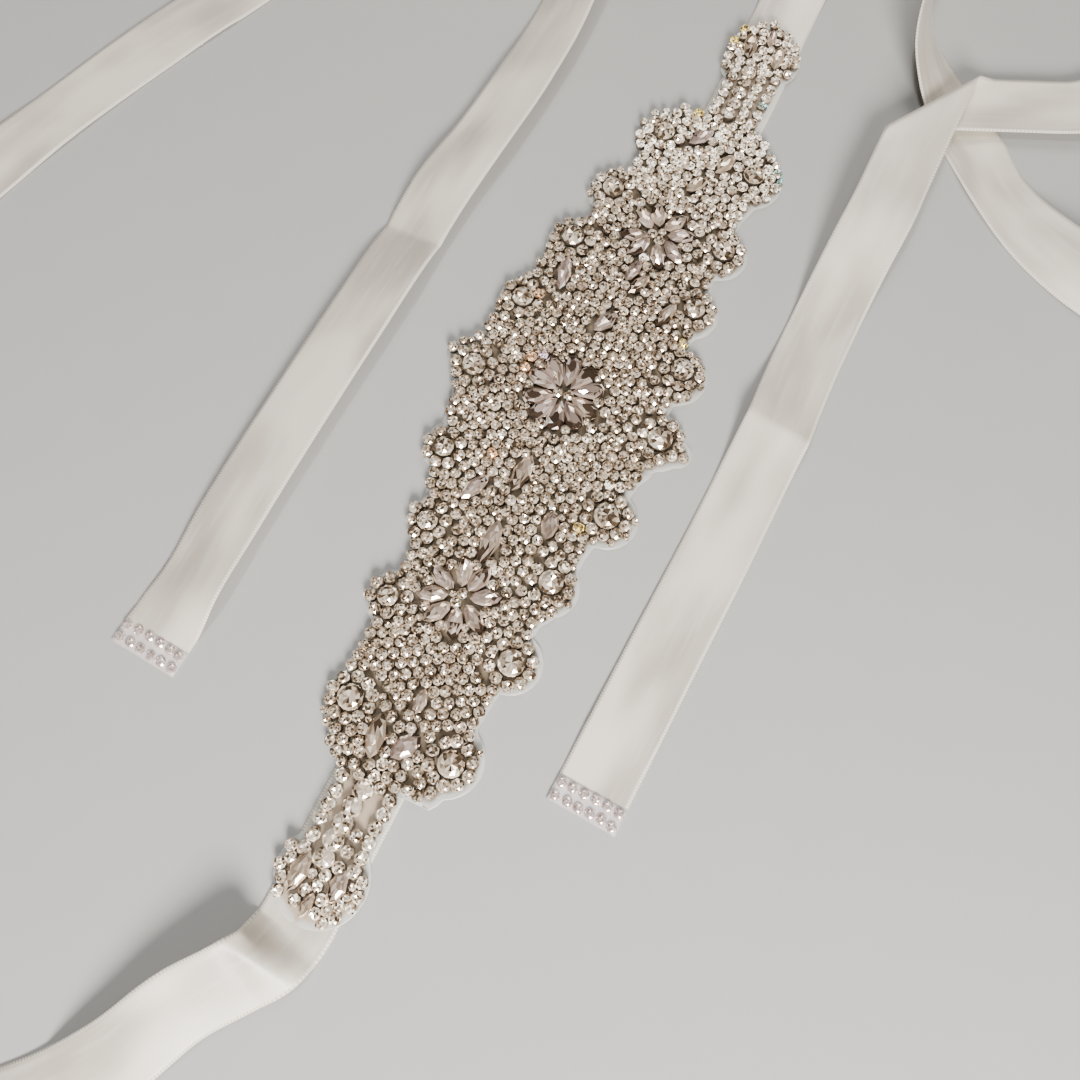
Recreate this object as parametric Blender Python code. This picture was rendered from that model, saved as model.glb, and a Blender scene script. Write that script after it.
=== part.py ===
"""Rhinestone belt, laid out flat on a table.

A scalloped applique of set stones on clear film is sewn on the middle of a long satin ribbon, and a
short strip of the same film, with two rows of stones, finishes each end of the ribbon. Metres, +Z up.
+X runs along the applique, and the origin lies under its middle, on the table.
"""

import math

import bmesh
import bpy
from mathutils import Vector
from mathutils.geometry import delaunay_2d_cdt

MM = 0.001
UP = Vector((0.0, 0.0, 1.0))

# Driving dimensions: the ribbon
RIBBON_WIDTH = 22.0 * MM
RIBBON_WALL = 1.0 * MM
STATION_STEP = 11.5 * MM
CURVED_STEP = 8.0 * MM
CURVED_STRETCHES = ("turn", "root", "under")
ACROSS = (-0.5, -0.17, 0.17, 0.5)
SEAM = 0.3 * MM
SEAM_LEAD = 1.6 * MM

# Driving dimensions: the applique, from the table up
FILM_WALL = 1.0 * MM
FILM_BASE = RIBBON_WALL + SEAM
BED_BASE = FILM_BASE + FILM_WALL + SEAM
BED_WALL = 1.8 * MM
FILM_MARGIN = 1.5 * MM
OUTLINE_STEP = 2.4 * MM

# Driving dimensions: the stones raised on the bed
ROUND_WIDTH = 7.2 * MM
ROUND_HEIGHT = 2.2 * MM
NECK_WIDTH = 3.7 * MM
NECK_HEIGHT = 1.1 * MM
NAVETTE_LENGTH = 9.2 * MM
NAVETTE_WIDTH = 4.2 * MM
NAVETTE_HEIGHT = 1.4 * MM
END_STONE_WIDTH = 2.5 * MM
END_STONE_HEIGHT = 1.0 * MM
END_STRIP_LENGTH = 8.0 * MM
END_STONES_ACROSS = 6

# Where the right tail is folded over: the middle of the fold on the table, the fold's own direction,
# the direction of the ribbon after it, the radius of the soft fold, and the height under it
FOLD_MIDDLE = Vector((161.5 * MM, -68.0 * MM, 0.0))
FOLD_ANGLE = math.radians(-32.0)
FOLD_HEADING = math.radians(180.0)
FOLD_RADIUS = 2.8 * MM
FOLD_LIFT = 3.9 * MM
FOLD_REACH = 30.0 * MM
FOLD_LEAD = 14.0 * MM

# Lobes of the film, in mm: the side of the belt (1 is +Y), the place and radius of the lobe's disc,
# and the place of the round crystal that it carries
LOBES = (
    # side, lobe x, lobe y, radius, crystal x, crystal y
    (1, -110.5, 10.2, 11.8, -110.0, 14.2),
    (1, -78.5, 16.6, 9.5, -78.8, 20.0),
    (1, -52.0, 17.4, 9.5, -52.2, 21.0),
    (1, -28.2, 25.0, 9.4, -29.6, 28.3),
    (1, 1.0, 30.4, 9.8, -0.2, 32.4),
    (1, 28.0, 27.6, 9.7, 28.8, 29.4),
    (1, 55.0, 23.0, 9.6, 57.0, 24.8),
    (1, 80.0, 19.4, 9.7, 80.0, 20.6),
    (1, 108.5, 12.2, 11.8, 109.4, 14.6),
    (-1, -112.5, -18.6, 11.4, -113.0, -20.3),
    (-1, -79.5, -22.6, 9.7, -79.3, -23.2),
    (-1, -54.0, -22.0, 9.9, -53.0, -22.7),
    (-1, -26.5, -28.8, 9.8, -25.9, -28.4),
    (-1, 3.5, -31.8, 9.8, 4.2, -32.3),
    (-1, 27.2, -28.2, 9.9, 29.4, -28.7),
    (-1, 50.2, -22.6, 9.4, 51.1, -23.4),
    (-1, 74.9, -22.4, 9.5, 76.2, -23.0),
    (-1, 107.5, -18.8, 12.6, 108.2, -20.4),
)

# Discs without a round crystal, in mm: the small tips of the two middle lobes and the end bulbs
TIPS = (
    # side, x, y, radius
    (1, 2.3, 37.8, 4.8),
    (-1, 3.0, -39.4, 4.7),
    (1, -156.0, -3.0, 13.6),
    (-1, -156.0, -3.0, 13.8),
    (1, 157.0, -3.3, 13.6),
    (-1, 157.0, -3.3, 13.9),
)

# The body between the lobes, in mm: how far the film reaches on each side of the axis at each place
BODY = (
    # x, +Y edge, -Y edge
    (-166.0, 5.0, -11.0),
    (-152.0, 7.2, -12.8),
    (-127.4, 7.6, -12.7),
    (-127.2, 8.0, -21.0),
    (-124.5, 14.2, -23.0),
    (-104.0, 20.6, -22.6),
    (-92.0, 19.8, -23.6),
    (-66.0, 20.6, -25.4),
    (-63.5, 20.8, -27.4),
    (-41.0, 26.6, -28.4),
    (-20.0, 32.6, -31.6),
    (-12.0, 33.6, -33.0),
    (-8.0, 36.0, -35.0),
    (8.0, 38.0, -33.6),
    (12.0, 36.0, -31.6),
    (20.0, 35.6, -31.2),
    (40.5, 31.4, -27.2),
    (46.0, 31.0, -29.2),
    (64.0, 24.2, -24.6),
    (90.0, 19.4, -24.0),
    (96.0, 18.8, -25.8),
    (118.0, 16.0, -24.0),
    (123.6, 13.4, -20.0),
    (123.8, 5.3, -14.6),
    (142.4, 5.5, -14.6),
    (143.6, 8.0, -14.6),
    (150.0, 9.2, -14.8),
    (167.0, 4.0, -11.0),
)

# Where the body steps in to the necks, in mm along the axis
LEFT_STEP = -127.3
RIGHT_STEP = 123.7

# The largest navettes, in mm and degrees: the place and the turn of each
NAVETTES = (
    # x, y, turn
    (-50.0, 1.9, 2.0),
    (-49.0, -3.0, -2.0),
    (-27.5, 2.2, 0.0),
    (-26.5, -2.6, 4.0),
    (33.0, 1.6, -14.0),
    (51.0, 0.6, 6.0),
    (-37.0, 12.2, -22.0),
    (-36.5, -12.6, 30.0),
    (42.0, 20.6, 20.0),
    (43.5, -15.6, -14.0),
    (-116.5, 3.2, 14.0),
    (-114.5, -7.2, -28.0),
    (-102.0, -2.0, 0.0),
    (113.0, 2.6, -26.0),
    (108.5, -9.8, 22.0),
    (98.0, -3.4, 0.0),
    (-157.0, 4.2, 4.0),
    (-156.5, -9.0, -4.0),
    (158.5, 4.0, -4.0),
    (158.0, -10.0, 4.0),
)

# Flowers of navettes, in mm and degrees: the place, the radius to the petals' middles, how many
# petals, the first petal's turn, and the angle from one petal to the next
FLOWERS = (
    # x, y, radius, petals, first, step
    (4.0, 1.8, 8.3, 10, 12.0, 36.0),
    (-69.0, -0.6, 8.3, 8, 22.5, 45.0),
    (70.5, -1.4, 8.3, 8, 22.5, 45.0),
)

# Rows of larger round stones along the necks, in mm: the first place, the last place, and how many
NECK_ROWS = (
    # x first, y first, x last, y last, stones
    (-147.5, 0.4, -130.0, 0.4, 5),
    (-147.5, -5.4, -130.0, -5.4, 5),
    (128.5, -2.2, 145.5, -1.2, 5),
    (128.5, -8.0, 145.5, -7.4, 5),
    (-165.0, -3.0, -150.5, -2.6, 4),
    (151.5, -3.4, 166.0, -3.4, 4),
)

# Routes of the ribbon, in mm and degrees: the stretch that starts at a row, the place of the middle of
# the ribbon, how far it is lifted off the table, and how far it stands on one edge
RIBBON_ROUTE = (
    # stretch, x, y, lift, roll
    ("tail_b_end", -127.8, 74.8, 0.0, 0.0),
    ("", -116.0, 74.2, 0.0, 0.0),
    ("", -103.0, 73.4, 0.0, -13.0),
    ("", -79.5, 73.8, 0.8, -12.0),
    ("", -34.9, 73.4, 2.0, -11.0),
    ("", 13.1, 72.2, 2.6, -11.0),
    ("", 31.7, 72.1, 2.6, -10.0),
    ("", 51.9, 71.6, 2.6, -9.0),
    ("", 79.1, 69.3, 2.2, -13.0),
    ("", 107.2, 67.9, 1.5, -17.0),
    ("", 127.2, 67.9, 0.5, -20.0),
    ("tail_b_turn_4", 146.0, 69.2, 0.0, -25.0),
    ("", 169.0, 72.5, 0.0, -36.0),
    ("", 186.0, 84.0, 0.0, -50.0),
    ("tail_b_turn_3", 190.0, 109.0, 0.0, -60.0),
    ("", 175.0, 136.0, 0.0, -58.0),
    ("", 146.0, 157.0, 0.0, -42.0),
    ("tail_b_corner", 112.0, 171.5, 0.0, -14.0),
    ("", 86.7, 181.2, 0.0, 0.0),
    ("", 56.3, 192.6, 0.0, 0.0),
    ("", 38.6, 198.6, 0.0, 0.0),
    ("tail_b_back", 18.0, 204.8, 0.0, 0.0),
    ("", -20.0, 214.0, 0.0, 0.0),
    ("", -80.0, 216.0, 0.0, -5.0),
    ("tail_b_turn_2", -132.0, 208.0, 0.0, -14.0),
    ("", -180.0, 190.0, 0.0, -24.0),
    ("", -219.0, 163.0, 0.0, -30.0),
    ("tail_b_turn_1", -247.0, 131.0, 0.0, -34.0),
    ("", -261.0, 95.0, 0.0, -34.0),
    ("", -255.0, 60.0, 0.0, -26.0),
    ("tail_b_root", -235.0, 34.5, 0.0, -4.0),
    ("", -217.6, 22.4, 0.5, 12.0),
    ("", -198.5, 13.1, 1.2, 20.0),
    ("", -185.6, 3.7, 1.4, 20.0),
    ("", -178.0, -1.3, 1.0, 14.0),
    ("", -174.6, -2.0, 0.2, 3.0),
    ("", -172.8, -2.4, 0.0, 0.0),
    ("ribbon_waist", -171.0, -2.6, 0.0, 0.0),
    ("", -160.0, -2.6, 0.0, 0.0),
    ("", -140.0, -2.4, 0.0, 0.0),
    ("", -60.0, -1.8, 0.0, 0.0),
    ("", 0.0, -1.6, 0.0, 0.0),
    ("", 70.0, -2.8, 0.0, 0.0),
    ("", 140.0, -4.6, 0.0, 0.0),
    ("tail_a_root", 173.0, -3.3, 0.0, 0.0),
    ("", 186.5, -3.0, 0.0, 0.0),
    ("", 204.0, -3.2, 0.0, -8.0),
    ("tail_a_turn_1", 222.0, -6.0, 0.0, -34.0),
    ("", 238.0, -14.0, 0.0, -66.0),
    ("", 244.0, -26.0, 0.0, -80.0),
    ("", 237.5, -38.0, 0.0, -86.0),
    ("tail_a_under", 222.0, -44.0, 0.0, -86.0),
    ("", 203.6, -47.8, 0.0, -77.0),
    ("", 191.4, -51.0, 0.0, -56.0),
    ("", 181.4, -57.2, 0.0, -33.0),
    ("", 173.4, -65.2, 0.0, -17.0),
    ("", 167.0, -73.2, 0.0, -6.0),
    ("", 158.8, -83.4, 0.0, 0.0),
    ("", 146.5, -96.4, 0.0, 0.0),
    ("tail_a_turn_2", 131.0, -118.0, 0.0, 12.0),
    ("", 119.0, -148.0, 0.0, 32.0),
    ("", 119.0, -184.0, 0.0, 42.0),
    ("tail_a_turn_3", 136.0, -217.0, 0.0, 46.0),
    ("", 167.0, -235.0, 0.0, 50.0),
    ("", 202.0, -229.0, 0.0, 50.0),
    ("tail_a_turn_4", 224.0, -203.0, 0.0, 44.0),
    ("", 225.0, -170.0, 0.4, 32.0),
    ("", 214.0, -138.0, 2.2, 12.0),
)
TAIL_A_END_ROUTE = (
    # stretch, x, y, lift, roll
    ("", 92.0, -63.8, 4.6, 0.0),
    ("", 68.0, -63.8, 0.0, 0.0),
    ("", 53.5, -63.6, 0.0, 0.0),
    ("", 24.8, -64.0, 0.0, 0.0),
    ("", -16.7, -63.4, 0.0, 0.0),
    ("", -55.4, -62.0, 0.0, 0.0),
    ("", -109.4, -60.2, 0.0, 0.0),
)

# Pressed creases across the ribbon, in mm: the stretch, the place of the crease along X, how far it
# rises (or, below zero, sinks), and how far it slopes before and after it
CREASES = (
    # stretch, x, height, before, after
    ("tail_b_root", -180.0, 3.2, 34.0, 7.5),
    ("tail_b_end", 32.0, -2.6, 30.0, 36.0),
    ("tail_a_end", 24.8, 2.8, 40.0, 26.0),
)


def clear_scene():
    for thing in list(bpy.data.objects):
        bpy.data.objects.remove(thing, do_unlink=True)


def principled(name, colour, roughness, metallic):
    material = bpy.data.materials.new(name)
    material.use_nodes = True
    shader = material.node_tree.nodes["Principled BSDF"]
    shader.inputs["Base Color"].default_value = (*colour, 1.0)
    shader.inputs["Roughness"].default_value = roughness
    shader.inputs["Metallic"].default_value = metallic
    material.diffuse_color = (*colour, 1.0)
    return material


def add_object(name, bm, material):
    bmesh.ops.recalc_face_normals(bm, faces=bm.faces[:])
    if bm.calc_volume(signed=True) < 0.0:
        bmesh.ops.reverse_faces(bm, faces=bm.faces[:])
    mesh = bpy.data.meshes.new(name)
    bm.to_mesh(mesh)
    bm.free()
    mesh.materials.append(material)
    thing = bpy.data.objects.new(name, mesh)
    bpy.context.scene.collection.objects.link(thing)
    return thing


# The ribbon: a route becomes stations, and each stretch of stations becomes a wall


def chord_lengths(rows):
    lengths = [0.0]
    for first, second in zip(rows, rows[1:]):
        step = math.hypot(second[0] - first[0], second[1] - first[1])
        lengths.append(lengths[-1] + step)
    return lengths


def tangents(rows, lengths):
    slopes = []
    for first, second, start, end in zip(rows, rows[1:], lengths, lengths[1:]):
        slopes.append([(b - a) / (end - start) for a, b in zip(first, second)])
    found = [slopes[0]]
    for i in range(1, len(rows) - 1):
        before = lengths[i] - lengths[i - 1]
        after = lengths[i + 1] - lengths[i]
        pairs = zip(slopes[i - 1], slopes[i])
        found.append([(a * after + b * before) / (before + after) for a, b in pairs])
    found.append(slopes[-1])
    return found


def make_curve(rows):
    """Returns a function of the distance along a smooth curve through the rows: its values there."""
    lengths = chord_lengths(rows)
    leans = tangents(rows, lengths)

    def at(distance):
        i = 0
        while i < len(rows) - 2 and distance > lengths[i + 1]:
            i += 1
        span = lengths[i + 1] - lengths[i]
        t = (distance - lengths[i]) / span
        start = (1 + 2 * t) * (1 - t) ** 2
        lean_start = t * (1 - t) ** 2 * span
        end = t * t * (3 - 2 * t)
        lean_end = t * t * (t - 1) * span
        parts = zip(rows[i], rows[i + 1], leans[i], leans[i + 1])
        return [start * a + end * b + lean_start * c + lean_end * d for a, b, c, d in parts]

    return at, lengths


def station(at, distance, extra_lift=0.0):
    x, y, lift, roll = at(distance)
    ahead = at(distance + 0.5 * MM)
    behind = at(distance - 0.5 * MM)
    heading = math.atan2(ahead[1] - behind[1], ahead[0] - behind[0])
    side = Vector((-math.sin(heading), math.cos(heading), 0.0))
    raised = side * math.cos(roll) + UP * math.sin(roll)
    height = RIBBON_WALL / 2 + max(lift, 0.0) + extra_lift
    height += RIBBON_WIDTH / 2 * abs(math.sin(roll))
    middle = Vector((x, y, height))
    return [middle + raised * (RIBBON_WIDTH * w) for w in ACROSS]


def crease_lift(distance, creases):
    lift = 0.0
    for place, height, before, after in creases:
        reach = before if distance < place else after
        lift += height * max(0.0, 1.0 - abs(distance - place) / reach)
    return lift


def distance_at_x(at, start, end, x):
    steps = 400
    tries = [start + (end - start) * i / steps for i in range(steps + 1)]
    return min(tries, key=lambda distance: abs(at(distance)[0] - x))


def wall_from_rows(name, rows, material):
    """A closed wall, half its thickness to each side of a grid of points."""
    count = len(rows)
    across = len(rows[0])
    bm = bmesh.new()
    layers = []
    for direction in (-0.5, 0.5):
        layer = []
        for i, row in enumerate(rows):
            line = []
            for j, point in enumerate(row):
                along = rows[min(i + 1, count - 1)][j] - rows[max(i - 1, 0)][j]
                sideways = row[min(j + 1, across - 1)] - row[max(j - 1, 0)]
                normal = along.cross(sideways).normalized()
                line.append(bm.verts.new(point + normal * (direction * RIBBON_WALL)))
            layer.append(line)
        layers.append(layer)
    low, high = layers
    for i in range(count - 1):
        for j in range(across - 1):
            bm.faces.new((low[i][j], low[i][j + 1], low[i + 1][j + 1], low[i + 1][j]))
            bm.faces.new((high[i][j], high[i + 1][j], high[i + 1][j + 1], high[i][j + 1]))
        for j in (0, across - 1):
            bm.faces.new((low[i][j], low[i + 1][j], high[i + 1][j], high[i][j]))
    for i in (0, count - 1):
        for j in range(across - 1):
            bm.faces.new((low[i][j], high[i][j], high[i][j + 1], low[i][j + 1]))
    return add_object(name, bm, material)


def stretches_of(route):
    starts = [i for i, row in enumerate(route) if row[0]]
    ends = starts[1:] + [len(route) - 1]
    return [(route[first][0], first, last) for first, last in zip(starts, ends)]


def ribbon_stretches(route, material):
    """Builds every stretch of a route, a seam apart."""
    rows = [(x * MM, y * MM, lift * MM, math.radians(roll)) for _, x, y, lift, roll in route]
    at, lengths = make_curve(rows)
    for name, first, last in stretches_of(route):
        start = lengths[first] + SEAM / 2
        end = lengths[last] - SEAM / 2
        creases = []
        for stretch, x, height, before, after in CREASES:
            if stretch == name:
                place = distance_at_x(at, start, end, x * MM)
                creases.append((place, height * MM, before * MM, after * MM))
        curved = any(word in name for word in CURVED_STRETCHES)
        step = CURVED_STEP if curved else STATION_STEP
        first_inner = start + SEAM_LEAD
        inner_length = end - start - 2.0 * SEAM_LEAD
        count = max(3, round(inner_length / step) + 1)
        inner = [first_inner + inner_length * i / (count - 1) for i in range(count)]
        for place, _, _, _ in creases:
            nearest = min(range(count), key=lambda i: abs(inner[i] - place))
            inner[nearest] = place
        distances = [start] + inner + [end]
        points = [station(at, d, crease_lift(d, creases)) for d in distances]
        wall_from_rows(name, points, material)


# The fold: the ribbon lies flat, turns over round a soft fold line and goes back over itself


def fold_frame():
    line = Vector((math.cos(FOLD_ANGLE), math.sin(FOLD_ANGLE), 0.0))
    outward = Vector((-line.y, line.x, 0.0))
    heading = 2.0 * FOLD_ANGLE - FOLD_HEADING
    forward = Vector((math.cos(heading), math.sin(heading), 0.0))
    return line, outward, forward


def folded(point, line, outward):
    """Where a point of the flat ribbon goes once everything past the fold line is turned over."""
    past = point.dot(outward)
    along = line * point.dot(line)
    turn = math.pi * FOLD_RADIUS
    if past <= 0.0:
        return along + outward * past
    if past < turn:
        angle = past / FOLD_RADIUS
        rise = FOLD_RADIUS * (1.0 - math.cos(angle))
        return along + outward * (FOLD_RADIUS * math.sin(angle)) + UP * rise
    return along - outward * (past - turn) + UP * (2.0 * FOLD_RADIUS)


def fold_rows():
    """Lines of points across the folded stretch: square to the ribbon at both ends, and along the fold
    line where it turns over."""
    line, outward, forward = fold_frame()
    side = Vector((-forward.y, forward.x, 0.0))
    slant = -(side.dot(outward)) / forward.dot(outward)
    zone = math.pi * FOLD_RADIUS / forward.dot(outward)
    entry = FOLD_MIDDLE - line * (zone * forward.dot(line) / 2.0)
    spread = (-1.0, -0.66, -0.33, 0.0)
    places = [(FOLD_REACH * s, (1.0 + s)) for s in spread]
    places += [(zone * k / 8.0, 1.0) for k in range(1, 8)]
    places += [(zone - FOLD_REACH * s, (1.0 + s)) for s in reversed(spread)]
    rows = []
    for distance, share in places:
        row = []
        for w in ACROSS:
            across = RIBBON_WIDTH * w
            flat = side * across + forward * (distance + slant * share * across)
            point = entry + folded(flat, line, outward)
            point.z += RIBBON_WALL / 2 + FOLD_LIFT
            row.append(point)
        rows.append(row)
    return rows


def lead_rows(row, away, lift):
    """Two route rows, in mm, in line with the end of the fold: one at its seam and one further on."""
    middle = sum(row, Vector()) / len(row)
    rows = []
    for distance in (SEAM / 2, FOLD_LEAD):
        place = middle + away * distance
        rows.append(("", place.x / MM, place.y / MM, lift / MM, 0.0))
    return rows


# The applique: its outline is the edge of a row of discs and of the body between them


def disc_edge(x, side, disc_x, disc_y, radius):
    reach = radius * radius - (x - disc_x) ** 2
    if reach <= 0.0:
        return 0.0
    return side * disc_y + math.sqrt(reach)


def body_edge(x, side):
    column = 1 if side > 0 else 2
    for first, second in zip(BODY, BODY[1:]):
        if first[0] <= x <= second[0]:
            t = (x - first[0]) / (second[0] - first[0])
            return abs(first[column] + (second[column] - first[column]) * t)
    return 0.0


def edge_height(x, side, inset):
    """How far the applique reaches from the axis, in mm, at a place along it."""
    found = max(0.0, body_edge(x, side) - inset)
    discs = [row[:4] for row in LOBES] + list(TIPS)
    for disc_side, disc_x, disc_y, radius in discs:
        if disc_side == side:
            found = max(found, disc_edge(x, side, disc_x, disc_y, radius - inset))
    return found


def outline(inset):
    """The points round the applique, in metres, counterclockwise."""
    ends = [row for row in TIPS if abs(row[1]) > 150.0]
    left = min(x - radius for _, x, _, radius in ends) + inset
    right = max(x + radius for _, x, _, radius in ends) - inset
    count = round((right - left) * MM / OUTLINE_STEP)
    places = [left + (right - left) * (i + 0.5) / count for i in range(count)]
    steps = [LEFT_STEP + inset, RIGHT_STEP - inset]
    for step in steps:
        places += [step - 0.25, step + 0.25]
    places = sorted(places)
    upper = [Vector((x * MM, edge_height(x, 1, inset) * MM)) for x in places]
    lower = [Vector((x * MM, -edge_height(x, -1, inset) * MM)) for x in places]
    middle_left = Vector((left * MM, ends[0][2] * MM))
    middle_right = Vector((right * MM, ends[-1][2] * MM))
    return [middle_left] + lower + [middle_right] + list(reversed(upper))


# Stones on a plate: each stone's outline is let into the plate's top face and raised


def round_loop(x, y, width, sides, turn=0.0):
    loop = []
    for i in range(sides):
        angle = turn + 2.0 * math.pi * (i + 0.5) / sides
        loop.append(Vector((x + width / 2 * math.cos(angle), y + width / 2 * math.sin(angle))))
    return loop


def navette_loop(x, y, length, width, turn):
    flat = ((0.5, 0.0), (0.2, 0.45), (-0.2, 0.45), (-0.5, 0.0), (-0.2, -0.45), (0.2, -0.45))
    loop = []
    for along, across in flat:
        a = along * length
        b = across * width
        loop.append(
            Vector((
                x + a * math.cos(turn) - b * math.sin(turn),
                y + a * math.sin(turn) + b * math.cos(turn),
            ))
        )
    return loop


def triangulate(loops):
    """Triangles between closed loops: points, triangles, and for each the loops that it lies in."""
    points = []
    faces = []
    for loop in loops:
        faces.append(list(range(len(points), len(points) + len(loop))))
        points.extend(loop)
    out_points, _, out_faces, _, _, owners = delaunay_2d_cdt(points, [], faces, 1, 1e-7)
    return out_points, out_faces, owners


def studded_plate(name, base, wall, edge, stones, material):
    """A plate with a plain underside. Each stone is (loop, height): a short girdle, a crown that slopes
    in, and a flat table."""
    loops = [edge] + [loop for loop, _ in stones]
    points, faces, owners = triangulate(loops)
    bm = bmesh.new()
    top = [bm.verts.new((p.x, p.y, base + wall)) for p in points]
    for face, owner in zip(faces, owners):
        if owner == [0]:
            bm.faces.new([top[i] for i in face])
    low_points, low_faces, _ = triangulate([edge])
    low = [bm.verts.new((p.x, p.y, base)) for p in low_points]
    for face in low_faces:
        bm.faces.new([low[i] for i in reversed(face)])
    for i in range(len(edge)):
        j = (i + 1) % len(edge)
        bm.faces.new((low[i], low[j], top[j], top[i]))
    first = len(edge)
    for loop, height in stones:
        rim = top[first:first + len(loop)]
        first += len(loop)
        centre = sum(loop, Vector((0.0, 0.0))) / len(loop)
        rings = [rim]
        for inward, rise in ((0.0, 0.4), (0.36, 1.0)):
            ring = []
            for p in loop:
                q = p.lerp(centre, inward)
                ring.append(bm.verts.new((q.x, q.y, base + wall + height * rise)))
            rings.append(ring)
        for lower, upper in zip(rings, rings[1:]):
            for i in range(len(loop)):
                j = (i + 1) % len(loop)
                bm.faces.new((lower[i], lower[j], upper[j], upper[i]))
        bm.faces.new(rings[-1])
    return add_object(name, bm, material)


def flower_navettes():
    rows = []
    for x, y, radius, petals, first, step in FLOWERS:
        for i in range(petals):
            turn = math.radians(first + step * i)
            rows.append((x + radius * math.cos(turn), y + radius * math.sin(turn), turn))
    return rows


def applique_stones():
    stones = []
    for _, _, _, _, x, y in LOBES:
        stones.append((round_loop(x * MM, y * MM, ROUND_WIDTH, 8), ROUND_HEIGHT))
    for x0, y0, x1, y1, count in NECK_ROWS:
        for i in range(count):
            t = i / (count - 1)
            x = (x0 + (x1 - x0) * t) * MM
            y = (y0 + (y1 - y0) * t) * MM
            stones.append((round_loop(x, y, NECK_WIDTH, 6), NECK_HEIGHT))
    for x, y, turn in NAVETTES:
        loop = navette_loop(x * MM, y * MM, NAVETTE_LENGTH, NAVETTE_WIDTH, math.radians(turn))
        stones.append((loop, NAVETTE_HEIGHT))
    for x, y, turn in flower_navettes():
        loop = navette_loop(x * MM, y * MM, NAVETTE_LENGTH, NAVETTE_WIDTH, turn)
        stones.append((loop, NAVETTE_HEIGHT))
    return stones


def end_strip(name, tip, inner, material):
    """The film strip on a ribbon's end, with two rows of stones across it, from the last two rows of
    the ribbon's route."""
    last = Vector((tip[1] * MM, tip[2] * MM))
    before = Vector((inner[1] * MM, inner[2] * MM))
    out = (last - before).normalized()
    side = Vector((-out.y, out.x))
    half = RIBBON_WIDTH / 2
    corners = ((-END_STRIP_LENGTH, -half), (0.0, -half), (0.0, half), (-END_STRIP_LENGTH, half))
    edge = [last + out * a + side * b for a, b in corners]
    stones = []
    for row in (0.28, 0.68):
        for i in range(END_STONES_ACROSS):
            across = (i + 0.5) / END_STONES_ACROSS - 0.5
            place = last - out * (END_STRIP_LENGTH * row) + side * (RIBBON_WIDTH * across)
            loop = round_loop(place.x, place.y, END_STONE_WIDTH, 6)
            stones.append((loop, END_STONE_HEIGHT))
    studded_plate(name, FILM_BASE, FILM_WALL, edge, stones, material)


def build():
    clear_scene()
    satin = principled("satin_ribbon", (0.70, 0.66, 0.62), 0.38, 0.0)
    film = principled("clear_film", (0.74, 0.76, 0.73), 0.25, 0.0)
    stone = principled("set_stones", (0.62, 0.57, 0.53), 0.18, 0.6)

    rows = fold_rows()
    wall_from_rows("tail_a_fold", rows, satin)
    _, _, forward = fold_frame()
    onward = Vector((math.cos(FOLD_HEADING), math.sin(FOLD_HEADING), 0.0))
    seam, lead = lead_rows(rows[0], -forward, FOLD_LIFT)
    ribbon = RIBBON_ROUTE + (lead, seam)
    seam, lead = lead_rows(rows[-1], onward, FOLD_LIFT + 2.0 * FOLD_RADIUS)
    tail_a_end = (("tail_a_end", *seam[1:]), lead) + TAIL_A_END_ROUTE

    ribbon_stretches(ribbon, satin)
    ribbon_stretches(tail_a_end, satin)

    studded_plate("film_backing", FILM_BASE, FILM_WALL, outline(0.0), [], film)
    inset = FILM_MARGIN / MM
    studded_plate("stone_bed", BED_BASE, BED_WALL, outline(inset), applique_stones(), stone)
    end_strip("end_strip_a", tail_a_end[-1], tail_a_end[-2], film)
    end_strip("end_strip_b", ribbon[0], ribbon[1], film)


build()
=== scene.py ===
"""Looks of the rhinestone belt: a satin ribbon with a scalloped applique of set stones on clear film.

Metres, +Z up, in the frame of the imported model. +X runs along the applique.
"""

import math
import random

import bmesh
import bpy
import numpy as np
from mathutils import Matrix, Vector
from mathutils.kdtree import KDTree


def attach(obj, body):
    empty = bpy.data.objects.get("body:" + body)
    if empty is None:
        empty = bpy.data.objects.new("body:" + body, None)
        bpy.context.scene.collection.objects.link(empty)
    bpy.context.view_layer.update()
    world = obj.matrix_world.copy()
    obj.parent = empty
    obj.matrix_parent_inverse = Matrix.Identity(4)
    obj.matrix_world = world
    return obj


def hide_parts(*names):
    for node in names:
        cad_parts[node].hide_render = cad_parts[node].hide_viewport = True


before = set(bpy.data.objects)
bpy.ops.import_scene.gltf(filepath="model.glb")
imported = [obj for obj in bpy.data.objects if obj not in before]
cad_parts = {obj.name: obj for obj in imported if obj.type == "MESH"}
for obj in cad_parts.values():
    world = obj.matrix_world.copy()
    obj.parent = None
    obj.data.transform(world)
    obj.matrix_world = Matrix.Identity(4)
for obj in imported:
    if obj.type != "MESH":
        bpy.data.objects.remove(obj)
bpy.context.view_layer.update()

MM = 0.001
UP = Vector((0.0, 0.0, 1.0))


# The view: from above, a little to the left of the belt's middle, as it was photographed. The loops of
# the ribbon run out of the picture.

CAMERA_PLACE = Vector((-0.1010, -0.0357, 0.2486))
CAMERA_AIM = Vector((-0.0419, -0.0131, 0.0))
CAMERA_TOP = Vector((0.8918, 0.4524, 0.0))
SENSOR_WIDTH = 36.0
FOCAL_PIXELS = 830.0
PICTURE_PIXELS = 1080.0

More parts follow.
